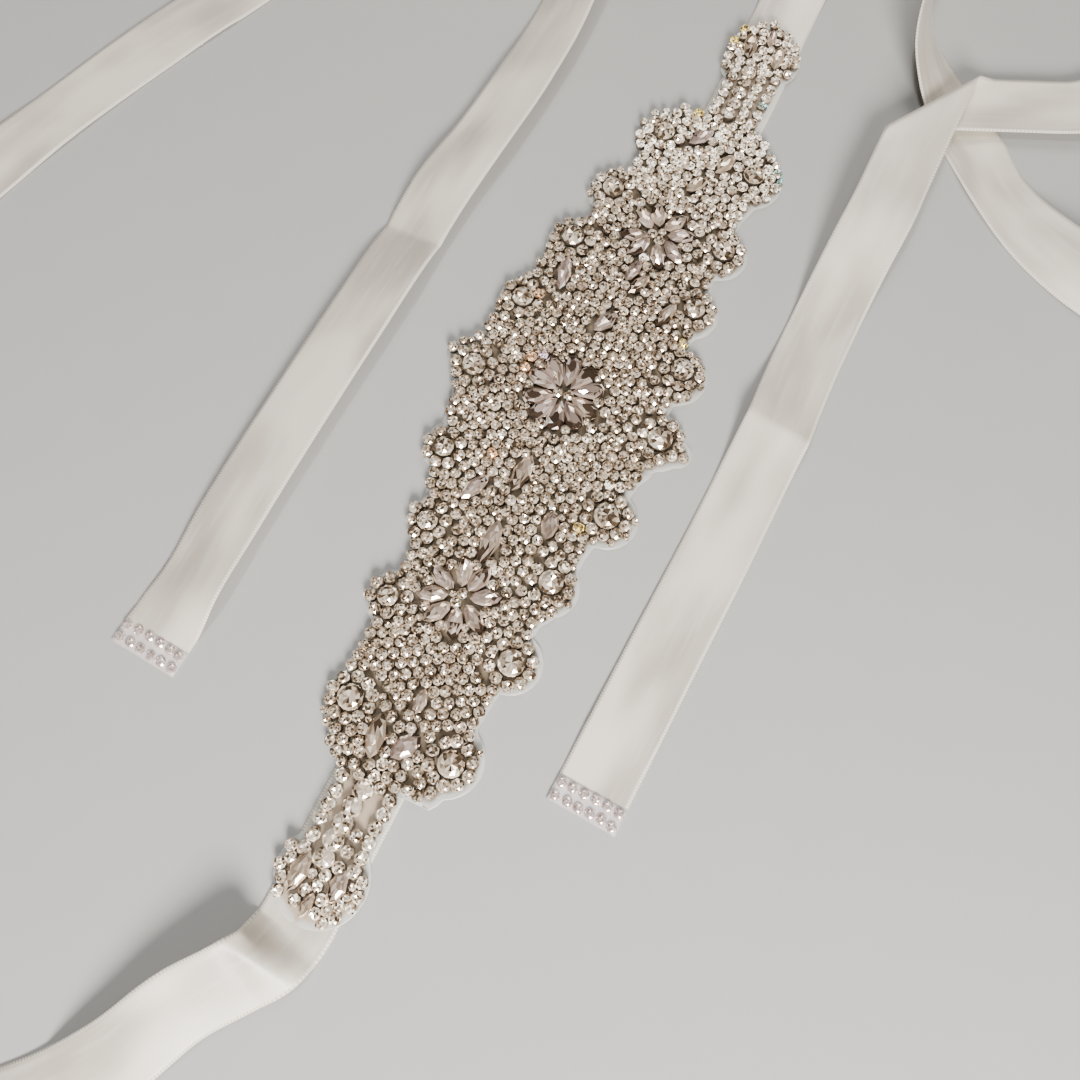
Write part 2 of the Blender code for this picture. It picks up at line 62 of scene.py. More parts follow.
camera = bpy.data.cameras.new("camera")
camera.sensor_width = SENSOR_WIDTH
camera.lens = SENSOR_WIDTH * FOCAL_PIXELS / PICTURE_PIXELS
camera.clip_start = 0.01
camera.clip_end = 20.0
viewer = bpy.data.objects.new("camera", camera)
bpy.context.scene.collection.objects.link(viewer)
bpy.context.scene.camera = viewer
look = (CAMERA_AIM - CAMERA_PLACE).normalized()
sideways = look.cross(CAMERA_TOP).normalized()
upward = sideways.cross(look)
turned = Matrix((sideways, upward, -look)).transposed().to_4x4()
viewer.matrix_world = Matrix.Translation(CAMERA_PLACE) @ turned


# The studio: a pale matt table top, one large soft lamp on the near side, a weaker one opposite and a
# small one overhead that makes the stones spark. The room is brighter above than at the sides, so that
# satin and cut stones have something to mirror.

FLOOR_SIZE = 3.0
FLOOR_COLOUR = (0.39, 0.385, 0.375)
ROOM_STRENGTH = 0.30
ROOM_STOPS = ((0.0, (0.16, 0.15, 0.14)), (0.45, (0.42, 0.41, 0.40)), (1.0, (1.0, 1.0, 1.0)))
LAMPS = (
    # name, place, aim, width, power, colour
    ("key_lamp", (-0.62, -0.42, 0.46), (0.0, 0.0, 0.0), 0.36, 22.0, (1.0, 0.96, 0.91)),
    ("fill_lamp", (0.74, 0.12, 0.72), (0.0, 0.0, 0.0), 0.56, 5.2, (1.0, 0.95, 0.90)),
    ("spark_lamp", (-0.12, 0.22, 0.95), (0.0, 0.0, 0.0), 0.12, 3.6, (1.0, 1.0, 1.0)),
)


class Signal:
    """A value inside a finish. Arithmetic on it adds Math nodes."""

    def __init__(self, finish, socket):
        self.finish = finish
        self.socket = socket

    def math(self, operation, *values):
        numbers = dict(enumerate(values))
        return self.finish.add("ShaderNodeMath", {"operation": operation}, numbers)

    def __add__(self, other):
        return self.math("ADD", self, other)

    __radd__ = __add__

    def __sub__(self, other):
        return self.math("SUBTRACT", self, other)

    def __rsub__(self, other):
        return self.math("SUBTRACT", other, self)

    def __mul__(self, other):
        return self.math("MULTIPLY", self, other)

    __rmul__ = __mul__

    def beside(self, output):
        """Another output of the same node."""
        return Signal(self.finish, self.socket.node.outputs[output])

    def size(self):
        return self.math("ABSOLUTE", self)

    def wave(self):
        return self.math("SINE", self)

    def between(self, low, high):
        """0 below low, 1 above high, and a soft step from one to the other."""
        ends = {"Value": self, "From Min": low, "From Max": high}
        steps = {"interpolation_type": "SMOOTHSTEP"}
        return self.finish.add("ShaderNodeMapRange", steps, ends)


class Finish:
    """A material, or the light of the room: its shader, and the nodes that feed it."""

    def __init__(self, owner, shader, **fixed):
        self.owner = owner
        owner.use_nodes = True
        self.tree = owner.node_tree
        self.shader = self.tree.nodes[shader]
        for socket, value in fixed.items():
            self.shader.inputs[socket.replace("_", " ")].default_value = value

    def add(self, kind, settings=None, sockets=None, out=0):
        node = self.tree.nodes.new(kind)
        for name, value in (settings or {}).items():
            setattr(node, name, value)
        for name, value in (sockets or {}).items():
            if isinstance(value, Signal):
                self.tree.links.new(value.socket, node.inputs[name])
            else:
                node.inputs[name].default_value = value
        return Signal(self, node.outputs[out])

    def mix(self, share, first, second, blend="MIX"):
        settings = {"data_type": "RGBA", "blend_type": blend}
        return self.add("ShaderNodeMix", settings, {0: share, 6: first, 7: second}, 2)

    def ramp(self, stops, share):
        """The colour at a share from 0 to 1, by stops of place and colour."""
        found = self.add("ShaderNodeValToRGB", {}, {"Fac": share})
        elements = found.socket.node.color_ramp.elements
        while len(elements) < len(stops):
            elements.new(0.5)
        for element, (place, colour) in zip(elements, stops):
            element.position = place
            element.color = opaque(colour)
        return found

    def painted(self, name):
        """The first part of a colour that the mesh carries. The other parts are beside it."""
        colour = self.add("ShaderNodeAttribute", {"attribute_name": name})
        return self.add("ShaderNodeSeparateColor", {}, {"Color": colour})

    def place(self):
        return self.add("ShaderNodeTexCoord", out="Object")

    def noise(self, place, scale, detail=2.0):
        sockets = {"Vector": place, "Scale": scale, "Detail": detail}
        return self.add("ShaderNodeTexNoise", {}, sockets)

    def scaled(self, place, scales):
        settings = {"operation": "MULTIPLY"}
        return self.add("ShaderNodeVectorMath", settings, {0: place, 1: scales})

    def bump(self, height, strength, depth):
        sockets = {"Height": height, "Strength": strength, "Distance": depth}
        self.feed("Normal", self.add("ShaderNodeBump", {}, sockets))

    def feed(self, socket, signal):
        self.tree.links.new(signal.socket, self.shader.inputs[socket])


def opaque(colour):
    return (*colour, 1.0)


def material_finish(name, **fixed):
    return Finish(bpy.data.materials.new(name), "Principled BSDF", **fixed)


def add_piece(name, bm, material, smooth=False):
    """A finished mesh becomes an object at the origin."""
    for face in bm.faces:
        face.smooth = smooth
    mesh = bpy.data.meshes.new(name)
    bm.to_mesh(mesh)
    bm.free()
    mesh.materials.append(material)
    thing = bpy.data.objects.new(name, mesh)
    bpy.context.scene.collection.objects.link(thing)
    return thing


def thicken(thing, name, thickness):
    """Gives a flat sheet its thickness, half to each side."""
    wall = thing.modifiers.new(name, "SOLIDIFY")
    wall.thickness = thickness
    wall.offset = 0.0


table_finish = material_finish("pale_table_top", Roughness=0.85)
grain = table_finish.noise(table_finish.place(), 60.0, 4.0)
darker = opaque([0.96 * c for c in FLOOR_COLOUR])
table_finish.feed("Base Color", table_finish.mix(grain, darker, opaque(FLOOR_COLOUR)))

bm = bmesh.new()
bmesh.ops.create_grid(bm, x_segments=1, y_segments=1, size=FLOOR_SIZE / 2)
add_piece("table_top", bm, table_finish.owner)

for name, lamp_place, aim, width, power, colour in LAMPS:
    lamp = bpy.data.lights.new(name, "AREA")
    lamp.shape = "DISK"
    lamp.size = width
    lamp.energy = power
    lamp.color = colour
    stand = bpy.data.objects.new(name, lamp)
    bpy.context.scene.collection.objects.link(stand)
    stand.location = lamp_place
    stand.rotation_euler = (Vector(aim) - Vector(lamp_place)).to_track_quat("-Z", "Y").to_euler()

room = Finish(bpy.data.worlds.new("studio_room"), "Background", Strength=ROOM_STRENGTH)
bpy.context.scene.world = room.owner
upwards = room.add("ShaderNodeTexCoord", out="Generated")
parts = room.add("ShaderNodeSeparateXYZ", {}, {"Vector": upwards})
room.feed("Color", room.ramp(ROOM_STOPS, parts.beside("Z")))


# The ribbon: one length of ivory satin, 22 mm wide, woven with a corded selvedge along each side. It lies
# flat under the applique. Each tail runs in an open loop, is pressed across where it was folded in its
# packet, and comes back beside the belt. The right tail is turned over once, at a slanting soft fold.

RIBBON_WIDTH = 22.0 * MM
RIBBON_THICKNESS = 0.36 * MM
RIBBON_REST = 0.2 * MM
RIBBON_STEP = 1.2 * MM
RIBBON_COLUMNS = 16
SELVEDGE_FROM = 10.0 * MM
SELVEDGE_CORD = 0.9 * MM

# Threads, streaks and painted sheen bands in the satin: how fine they are, along the ribbon and across
# it.
THREADS = (260.0, 7000.0, 1.0)
STREAKS = (40.0, 420.0, 1.0)
SHEEN_BANDS = (16.0, 40.0, 1.0)

# The cloth isn't quite flat: it swells and its sides curl, a little and unevenly, as it runs. It lies
# calm under the applique, near the fold and at its tips.
SWELL = 0.7 * MM
SWELL_RUN = 13.7 * MM
SWELL_DRIFT = 2.1
SWELL_DRIFT_RUN = 31.0 * MM
SWELL_SLANT = 2.4
EDGE_CURL = 0.25 * MM
CURL_RUN = 23.0 * MM
APPLIQUE_REACH = (172.0 * MM, 30.0 * MM)
APPLIQUE_CALM = 20.0 * MM
FOLD_CALM = 25.0 * MM
TIP_FLAT = 9.0 * MM
TIP_CALM = 20.0 * MM
SWELL_PAST_FOLD = 1.3

FOLD_MIDDLE = Vector((161.5 * MM, -68.0 * MM, 0.0))
FOLD_ANGLE = math.radians(-32.0)
FOLD_HEADING = math.radians(180.0)
FOLD_RADIUS = 2.8 * MM
FOLD_LIFT = 3.9 * MM
FOLD_REACH = 30.0 * MM
FOLD_LEAD = 14.0 * MM
FOLD_LEAD_ROWS = 16
FOLD_TURN_ROWS = 14

ROUTE_TO_FOLD = (
    # x, y, lift, roll: the middle of the ribbon in mm, and how far it stands on edge in degrees
    (-127.8, 74.8, 0.0, 0.0),
    (-116.0, 74.2, 0.0, 0.0),
    (-103.0, 73.4, 0.0, -13.0),
    (-79.5, 73.8, 0.8, -12.0),
    (-34.9, 73.4, 2.0, -11.0),
    (13.1, 72.2, 2.6, -11.0),
    (31.7, 72.1, 2.6, -10.0),
    (51.9, 71.6, 2.6, -9.0),
    (79.1, 69.3, 2.2, -13.0),
    (107.2, 67.9, 1.5, -17.0),
    (127.2, 67.9, 0.5, -20.0),
    (146.0, 69.2, 0.0, -25.0),
    (169.0, 72.5, 0.0, -36.0),
    (186.0, 84.0, 0.0, -50.0),
    (190.0, 109.0, 0.0, -60.0),
    (175.0, 136.0, 0.0, -58.0),
    (146.0, 157.0, 0.0, -42.0),
    (112.0, 171.5, 0.0, -14.0),
    (86.7, 181.2, 0.0, 0.0),
    (56.3, 192.6, 0.0, 0.0),
    (38.6, 198.6, 0.0, 0.0),
    (18.0, 204.8, 0.0, 0.0),
    (-20.0, 214.0, 0.0, 0.0),
    (-80.0, 216.0, 0.0, -5.0),
    (-132.0, 208.0, 0.0, -14.0),
    (-180.0, 190.0, 0.0, -24.0),
    (-219.0, 163.0, 0.0, -30.0),
    (-247.0, 131.0, 0.0, -34.0),
    (-261.0, 95.0, 0.0, -34.0),
    (-255.0, 60.0, 0.0, -26.0),
    (-235.0, 34.5, 0.0, -4.0),
    (-217.6, 22.4, 0.5, 12.0),
    (-198.5, 13.1, 1.2, 20.0),
    (-185.6, 3.7, 1.4, 20.0),
    (-178.0, -1.3, 1.0, 14.0),
    (-174.6, -2.0, 0.2, 3.0),
    (-172.8, -2.4, 0.0, 0.0),
    (-171.0, -2.6, 0.0, 0.0),
    (-160.0, -2.6, 0.0, 0.0),
    (-140.0, -2.4, 0.0, 0.0),
    (-60.0, -1.8, 0.0, 0.0),
    (0.0, -1.6, 0.0, 0.0),
    (70.0, -2.8, 0.0, 0.0),
    (140.0, -4.6, 0.0, 0.0),
    (173.0, -3.3, 0.0, 0.0),
    (186.5, -3.0, 0.0, 0.0),
    (204.0, -3.2, 0.0, -8.0),
    (222.0, -6.0, 0.0, -34.0),
    (238.0, -14.0, 0.0, -66.0),
    (244.0, -26.0, 0.0, -80.0),
    (237.5, -38.0, 0.0, -86.0),
    (222.0, -44.0, 0.0, -86.0),
    (203.6, -47.8, 0.0, -77.0),
    (191.4, -51.0, 0.0, -56.0),
    (181.4, -57.2, 0.0, -33.0),
    (173.4, -65.2, 0.0, -17.0),
    (167.0, -73.2, 0.0, -6.0),
    (158.8, -83.4, 0.0, 0.0),
    (146.5, -96.4, 0.0, 0.0),
    (131.0, -118.0, 0.0, 12.0),
    (119.0, -148.0, 0.0, 32.0),
    (119.0, -184.0, 0.0, 42.0),
    (136.0, -217.0, 0.0, 46.0),
    (167.0, -235.0, 0.0, 50.0),
    (202.0, -229.0, 0.0, 50.0),
    (224.0, -203.0, 0.0, 44.0),
    (225.0, -170.0, 0.4, 32.0),
    (214.0, -138.0, 2.2, 12.0),
)
ROUTE_AFTER_FOLD = (
    (92.0, -63.8, 4.6, 0.0),
    (68.0, -63.8, 0.0, 0.0),
    (53.5, -63.6, 0.0, 0.0),
    (24.8, -64.0, 0.0, 0.0),
    (-16.7, -63.4, 0.0, 0.0),
    (-55.4, -62.0, 0.0, 0.0),
    (-109.4, -60.2, 0.0, 0.0),
)
CREASES = (
    # x and y of the crease, its lean, its height, and its reach to each side along X, all in mm
    (-180.0, 0.0, 0.10, 2.6, 30.0, 11.0),
    (32.0, 72.0, 0.04, -2.6, 30.0, 32.0),
    (24.8, -64.0, 0.07, 4.2, 32.0, 40.0),
)
CREASE_SHARPNESS = 2.8
CREASE_HALF_WIDTH = 25.0


def chord_lengths(rows):
    lengths = [0.0]
    for first, second in zip(rows, rows[1:]):
        lengths.append(lengths[-1] + math.hypot(second[0] - first[0], second[1] - first[1]))
    return lengths


def leans_of(rows, lengths):
    """The slope of a smooth curve at each of its rows."""
    slopes = []
    for first, second, start, end in zip(rows, rows[1:], lengths, lengths[1:]):
        slopes.append([(b - a) / (end - start) for a, b in zip(first, second)])
    found = [slopes[0]]
    for i in range(1, len(rows) - 1):
        before = lengths[i] - lengths[i - 1]
        after = lengths[i + 1] - lengths[i]
        pairs = zip(slopes[i - 1], slopes[i])
        found.append([(a * after + b * before) / (before + after) for a, b in pairs])
    return found + [slopes[-1]]


def smooth_route(rows):
    """A function of the distance along the route, which gives the route's values there."""
    lengths = chord_lengths(rows)
    leans = leans_of(rows, lengths)

    def at(distance):
        i = 0
        while i < len(rows) - 2 and distance > lengths[i + 1]:
            i += 1
        span = lengths[i + 1] - lengths[i]
        t = (distance - lengths[i]) / span
        weights = (
            (1 + 2 * t) * (1 - t) ** 2,
            t * t * (3 - 2 * t),
            t * (1 - t) ** 2 * span,
            t * t * (t - 1) * span,
        )
        values = zip(rows[i], rows[i + 1], leans[i], leans[i + 1])
        return [sum(w * v for w, v in zip(weights, group)) for group in values]

    return at, lengths[-1]


def ease(t):
    t = min(1.0, max(0.0, t))
    return t * t * (3.0 - 2.0 * t)


def crease_rise(x, y, lean_y):
    """How far the pressed creases lift a point. Each is sharp and runs a little askew."""
    rise = 0.0
    for crease_x, crease_y, lean, height, before, after in CREASES:
        if abs(y / MM - crease_y) < CREASE_HALF_WIDTH:
            past = x / MM - crease_x - lean * (lean_y / MM - crease_y)
            reach = before if past < 0.0 else after
            rise += height * MM * max(0.0, 1.0 - abs(past) / reach) ** CREASE_SHARPNESS
    return rise


def looseness(x, y):
    """0 where the applique holds the ribbon flat, and 1 further away."""
    reach_x, reach_y = APPLIQUE_REACH
    if abs(y) >= reach_y:
        return 1.0
    return ease((abs(x) - reach_x) / APPLIQUE_CALM)


def ribbon_row(at, distance, total, offset, fold_at):
    """The points across the ribbon at one place along a route, which has the fold at one end."""
    x, y, lift, roll = at(distance)
    ahead = at(min(distance + 0.5 * MM, total))
    behind = at(max(distance - 0.5 * MM, 0.0))
    heading = math.atan2(ahead[1] - behind[1], ahead[0] - behind[0])
    side = Vector((-math.sin(heading), math.cos(heading), 0.0))
    raised = side * math.cos(roll) + UP * math.sin(roll)
    height = RIBBON_REST + max(lift, 0.0) + RIBBON_WIDTH / 2 * abs(math.sin(roll))
    tip_at = total - fold_at
    free = looseness(x, y)
    free *= ease(abs(distance - fold_at) / FOLD_CALM)
    free *= ease((abs(distance - tip_at) - TIP_FLAT) / TIP_CALM)
    place = offset + distance
    drift = SWELL_DRIFT * math.sin(place / SWELL_DRIFT_RUN)
    curling = 0.5 + 0.5 * math.sin(place / CURL_RUN)
    row = []
    for column in range(RIBBON_COLUMNS + 1):
        w = column / RIBBON_COLUMNS - 0.5
        point = Vector((x, y, height)) + raised * (RIBBON_WIDTH * w)
        point.z += crease_rise(point.x, y, point.y)
        swell = 0.5 + 0.5 * math.sin(place / SWELL_RUN + drift + SWELL_SLANT * w)
        curl = (2.0 * abs(w)) ** 3 * curling
        point.z = max(point.z, RIBBON_REST) + free * (SWELL * swell + EDGE_CURL * curl)
        row.append(point)
    return row


def folded(point, line, outward):
    """Where a point of the flat ribbon goes once everything past the fold line is turned over."""
    past = point.dot(outward)
    along = line * point.dot(line)
    turn = math.pi * FOLD_RADIUS
    if past <= 0.0:
        return along + outward * past
    if past < turn:
        angle = past / FOLD_RADIUS
        rise = FOLD_RADIUS * (1.0 - math.cos(angle))
        return along + outward * (FOLD_RADIUS * math.sin(angle)) + UP * rise
    return along - outward * (past - turn) + UP * (2.0 * FOLD_RADIUS)


def fold_rows():
    """The rows of points where the ribbon is turned over, and its heading before the fold."""
    line = Vector((math.cos(FOLD_ANGLE), math.sin(FOLD_ANGLE), 0.0))
    outward = Vector((-line.y, line.x, 0.0))
    heading = 2.0 * FOLD_ANGLE - FOLD_HEADING
    forward = Vector((math.cos(heading), math.sin(heading), 0.0))
    side = Vector((-forward.y, forward.x, 0.0))
    slant = -(side.dot(outward)) / forward.dot(outward)
    zone = math.pi * FOLD_RADIUS / forward.dot(outward)
    entry = FOLD_MIDDLE - line * (zone * forward.dot(line) / 2.0)
    spread = [-1.0 + i / FOLD_LEAD_ROWS for i in range(FOLD_LEAD_ROWS + 1)]
    places = [(FOLD_REACH * s, 1.0 + s) for s in spread]
    places += [(zone * k / FOLD_TURN_ROWS, 1.0) for k in range(1, FOLD_TURN_ROWS)]
    places += [(zone - FOLD_REACH * s, 1.0 + s) for s in reversed(spread)]
    rows = []
    for distance, share in places:
        row = []
        for column in range(RIBBON_COLUMNS + 1):
            across = RIBBON_WIDTH * (column / RIBBON_COLUMNS - 0.5)
            flat = side * across + forward * (distance + slant * share * across)
            point = entry + folded(flat, line, outward)
            point.z += RIBBON_REST + FOLD_LIFT
            row.append(point)
        rows.append(row)
    return rows, forward


def in_metres(rows):
    return [(x * MM, y * MM, lift * MM, math.radians(roll)) for x, y, lift, roll in rows]


def route_rows(route, offset, fold_at_end):
    at, total = smooth_route(in_metres(route))
    count = round(total / RIBBON_STEP)
    fold_at = total if fold_at_end else 0.0
    return [ribbon_row(at, total * i / count, total, offset, fold_at) for i in range(count + 1)]


def lead_in(row, away, lift):
    """Two route rows in line with an end of the fold: one at the fold and one further on."""
    middle = sum(row, Vector()) / len(row)
    rows = []
    for distance in (0.2 * MM, FOLD_LEAD):
        spot = middle + away * distance
        rows.append((spot.x / MM, spot.y / MM, lift / MM, 0.0))
    return rows


turn_rows, fold_forward = fold_rows()
onward = Vector((math.cos(FOLD_HEADING), math.sin(FOLD_HEADING), 0.0))
at_fold, lead = lead_in(turn_rows[0], -fold_forward, FOLD_LIFT)
rows = route_rows(ROUTE_TO_FOLD + (lead, at_fold), 0.0, True)
rows += turn_rows
at_fold, lead = lead_in(turn_rows[-1], onward, FOLD_LIFT + 2.0 * FOLD_RADIUS)
past_fold = route_rows((at_fold, lead) + ROUTE_AFTER_FOLD, SWELL_PAST_FOLD, False)
rows += [row[::-1] for row in past_fold]

distances = [0.0]
middle = RIBBON_COLUMNS // 2
for before, after in zip(rows, rows[1:]):
    distances.append(distances[-1] + (after[middle] - before[middle]).length)

bm = bmesh.new()
along_map = bm.loops.layers.uv.new("ribbon")
grid = [[bm.verts.new(point) for point in row] for row in rows]
for i in range(len(rows) - 1):
    for j in range(RIBBON_COLUMNS):
        corners = (grid[i][j], grid[i + 1][j], grid[i + 1][j + 1], grid[i][j + 1])
        face = bm.faces.new(corners)
        spots = ((i, j), (i + 1, j), (i + 1, j + 1), (i, j + 1))
        for loop, (a, b) in zip(face.loops, spots):
            loop[along_map].uv = (distances[a], RIBBON_WIDTH * (b / RIBBON_COLUMNS - 0.5))
bmesh.ops.reverse_faces(bm, faces=bm.faces[:])

satin = material_finish("ivory_satin", Sheen_Weight=0.12, Sheen_Roughness=0.35)
satin.shader.inputs["Specular IOR Level"].default_value = 1.0
woven = satin.add("ShaderNodeUVMap", {"uv_map": "ribbon"})
run = satin.add("ShaderNodeSeparateXYZ", {}, {"Vector": woven})
across = run.beside("Y")
threads = satin.noise(satin.scaled(woven, THREADS), 1.0, 2.0)
streaks = satin.noise(satin.scaled(woven, STREAKS), 1.0, 3.0)
sheen_bands = satin.noise(satin.scaled(woven, SHEEN_BANDS), 1.0, 2.0)
# Painted sheen: in broad soft bands the cloth goes from a painted shaded colour to a painted lit one.
shadowed = opaque((0.435, 0.39, 0.325))
lit = opaque((0.76, 0.697, 0.587))
cloth = satin.mix(sheen_bands.between(0.36, 0.64), shadowed, lit)
streaked = opaque((0.76, 0.725, 0.665))
cloth = satin.mix(streaks.between(0.45, 0.75) * 0.30, cloth, streaked)
selvedge = across.size().between(SELVEDGE_FROM, SELVEDGE_FROM + 0.2 * MM)
cords = (run * (2.0 * math.pi / SELVEDGE_CORD)).wave() * 0.5 + 0.5
# The corded selvedge: the gaps between the cords are painted darker, as shade between them.
shaded_cord_gap = opaque((0.56, 0.505, 0.43))
cord_top = opaque((0.78, 0.73, 0.63))
cloth = satin.mix(selvedge, cloth, satin.mix(cords.between(0.25, 0.75), shaded_cord_gap, cord_top))
satin.feed("Base Color", cloth)
satin.feed("Roughness", 0.38 + threads * 0.14 + selvedge * 0.2)
satin.bump(threads * (1.0 - selvedge) * 0.35 + selvedge * cords * 0.35, 0.5, 0.12 * MM)

ribbon = add_piece("ribbon", bm, satin.owner, smooth=True)
thicken(ribbon, "cloth_thickness", RIBBON_THICKNESS)
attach(ribbon, "root")
ribbon_nodes = [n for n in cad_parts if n.startswith(("tail_", "ribbon_"))]
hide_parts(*ribbon_nodes)


# The film: a clear plastic backing, cut to the scalloped outline of the applique. The stones are fixed
# on it, and it is sewn to the ribbon. A milky margin of it shows, most of all along the near side.

FILM_THICKNESS = 0.42 * MM
FILM_REST = 0.66 * MM
FILM_LEFT = -169.7
FILM_RIGHT = 170.8
FILM_COLUMN_STEP = 1.2
FILM_ROWS = 44
LEFT_STEP = -127.3
RIGHT_STEP = 123.7
NECKS = ((-152.0, -128.6), (125.0, 149.0))
NECK_FROM = 124.0
NECK_BLEND = 6.0
BODY_MIDDLE = -1.5

# What the stones keep from the far edge, which they overhang, and from the near edge, in mm.
EDGE_FAR = -0.25
EDGE_NEAR = 0.55
EDGE_STEP = 0.3
EDGE_GAP = 0.4

# Beyond the sides of the ribbon, the film and its stones sink towards the table.
SINK = 0.42 * MM
SINK_MIDDLE = -2.5 * MM
SINK_FROM = 11.5 * MM
SINK_RUN = 6.0 * MM

LOBES = (
    # side, x, y, radius in mm: the round scallops
    (1, -110.5, 10.2, 11.8),
    (1, -78.5, 16.6, 9.5),
    (1, -52.0, 17.4, 9.5),
    (1, -28.2, 25.0, 9.4),
    (1, 1.0, 30.4, 9.8),
    (1, 28.0, 27.6, 9.7),
    (1, 55.0, 23.0, 9.6),
    (1, 80.0, 19.4, 9.7),
    (1, 108.5, 12.2, 11.8),
    (-1, -112.5, -18.6, 11.4),
    (-1, -79.5, -22.6, 9.7),
    (-1, -54.0, -22.0, 9.9),
    (-1, -26.5, -28.8, 9.8),
    (-1, 3.5, -31.8, 9.8),
    (-1, 27.2, -28.2, 9.9),
    (-1, 50.2, -22.6, 9.4),
    (-1, 74.9, -22.4, 9.5),
    (-1, 107.5, -18.8, 12.6),
)
TIPS = (
    # side, x, y, radius in mm
    (1, 2.3, 37.8, 4.8),
    (-1, 3.0, -39.4, 4.7),
    (1, -156.0, -3.0, 13.6),
    (-1, -156.0, -3.0, 13.8),
    (1, 157.0, -3.3, 13.6),
    (-1, 157.0, -3.3, 13.9),
)
BODY = (
    # x, far edge, near edge in mm
    (-166.0, 5.0, -11.0),
    (-152.0, 7.2, -12.8),
    (-127.4, 7.6, -12.7),
    (-127.2, 8.0, -21.0),
    (-124.5, 14.2, -23.0),
    (-104.0, 20.6, -22.6),
    (-92.0, 19.8, -23.6),
    (-66.0, 20.6, -25.4),
    (-63.5, 20.8, -27.4),
    (-41.0, 26.6, -28.4),
    (-20.0, 32.6, -31.6),
    (-12.0, 33.6, -33.0),
    (-8.0, 36.0, -35.0),
    (8.0, 38.0, -33.6),
    (12.0, 36.0, -31.6),
    (20.0, 35.6, -31.2),
    (40.5, 31.4, -27.2),
    (46.0, 31.0, -29.2),
    (64.0, 24.2, -24.6),
    (90.0, 19.4, -24.0),
    (96.0, 18.8, -25.8),
    (118.0, 16.0, -24.0),
    (123.6, 13.4, -20.0),
    (123.8, 5.3, -14.6),
    (142.4, 5.5, -14.6),
    (143.6, 8.0, -14.6),
    (150.0, 9.2, -14.8),
    (167.0, 4.0, -11.0),
)


def film_reach(x, side):
    """How far the film reaches from the axis, in mm, at a place along it."""
    found = 0.0
    column = 1 if side > 0 else 2
    for first, second in zip(BODY, BODY[1:]):
        if first[0] <= x <= second[0]:
            t = (x - first[0]) / (second[0] - first[0])
            found = abs(first[column] + (second[column] - first[column]) * t)
    for disc_side, disc_x, disc_y, radius in LOBES + TIPS:
        left = radius * radius - (x - disc_x) ** 2
        if disc_side == side and left > 0.0:
            found = max(found, side * disc_y + math.sqrt(left))
    return found


def settle(y):
    """How far the film and its stones sink at a distance from the axis, in metres."""
    return -SINK * ease((abs(y - SINK_MIDDLE) - SINK_FROM) / SINK_RUN)


class Edge:
    """The edge of the film, and how far inside it a place is, in mm, less what stones keep from it."""

    def __init__(self):
        self.spots = np.arange(FILM_LEFT, FILM_RIGHT, EDGE_STEP)
        self.reach = {side: np.array([film_reach(x, side) for x in self.spots]) for side in (1, -1)}
        points = []
        for side, keep in ((1, EDGE_FAR), (-1, EDGE_NEAR)):
            line = list(zip(self.spots, side * self.reach[side]))
            for (x0, y0), (x1, y1) in zip(line, line[1:]):
                pieces = max(1, math.ceil(abs(y1 - y0) / EDGE_GAP))
                for k in range(pieces):
                    t = k / pieces
                    points.append((x0 + (x1 - x0) * t, y0 + (y1 - y0) * t, keep))
        self.tree = KDTree(len(points))
        self.keep = [keep for _, _, keep in points]
        for i, (x, y, _) in enumerate(points):
            self.tree.insert((x, y, 0.0), i)
        self.tree.balance()

    def inside(self, x, y):
        """How far a place on the film is from its edge."""
        return self.tree.find((x, y, 0.0))[2]

    def room(self, x, y):
        """How far inside, and the direction inwards."""
        far = np.interp(x, self.spots, self.reach[1])
        near = -np.interp(x, self.spots, self.reach[-1])
        nearest, i, distance = self.tree.find((x, y, 0.0))
        inward = Vector((x - nearest.x, y - nearest.y)) / max(distance, 0.01)
        if near < y < far:
            return distance - self.keep[i], inward
        return -distance - self.keep[i], -inward


def in_neck(x):
    return any(left < x < right for left, right in NECKS)


def neck_share(x):
    """1 on the necks and on the round ends beyond them, 0 on the body."""
    return ease((abs(x - BODY_MIDDLE) - NECK_FROM) / NECK_BLEND)


film_span = FILM_RIGHT - FILM_LEFT
columns = round(film_span / FILM_COLUMN_STEP)
places = [FILM_LEFT + film_span * (i + 0.12) / (columns + 0.24) for i in range(columns + 1)]
places += [LEFT_STEP - 0.1, LEFT_STEP + 0.1, RIGHT_STEP - 0.1, RIGHT_STEP + 0.1]
places = sorted(places)

edge = Edge()
bm = bmesh.new()
gap_shade = bm.verts.layers.float_color.new("gap_shade")
lines = []
for x in places:
    near = -film_reach(x, -1)
    far = film_reach(x, 1)
    line = []
    for j in range(FILM_ROWS + 1):
        y = near + (far - near) * j / FILM_ROWS
        vert = bm.verts.new((x * MM, y * MM, FILM_REST + FILM_THICKNESS / 2 + settle(y * MM)))
        # Painted shade under and between the stones: how far inside the film's margin a place lies, and
        # beside it how much it lies on a neck.
        vert[gap_shade] = (ease(edge.inside(x, y) / 1.6 - 0.6), neck_share(x), 0.0, 1.0)
        line.append(vert)
    lines.append(line)
for first, second in zip(lines, lines[1:]):
    for j in range(FILM_ROWS):
        bm.faces.new((first[j], second[j], second[j + 1], first[j + 1]))
film_area = sum(face.calc_area() for face in bm.faces)

def film_finish(name, thin, thick, **fixed):
    """Clear film with a light haze, from one colour to the other. Also returns the colour."""
    finish = material_finish(name, **fixed)
    haze = finish.noise(finish.place(), 140.0, 3.0)
    finish.bump(haze, 0.2, 0.1 * MM)
    return finish, finish.mix(haze, opaque(thin), opaque(thick))


lilac_haze = ((0.70, 0.66, 0.68), (0.88, 0.85, 0.86))
clear_film, milky = film_finish("clear_film", *lilac_haze, Roughness=0.22, Alpha=0.5)
clear_film.feed("Base Color", milky)

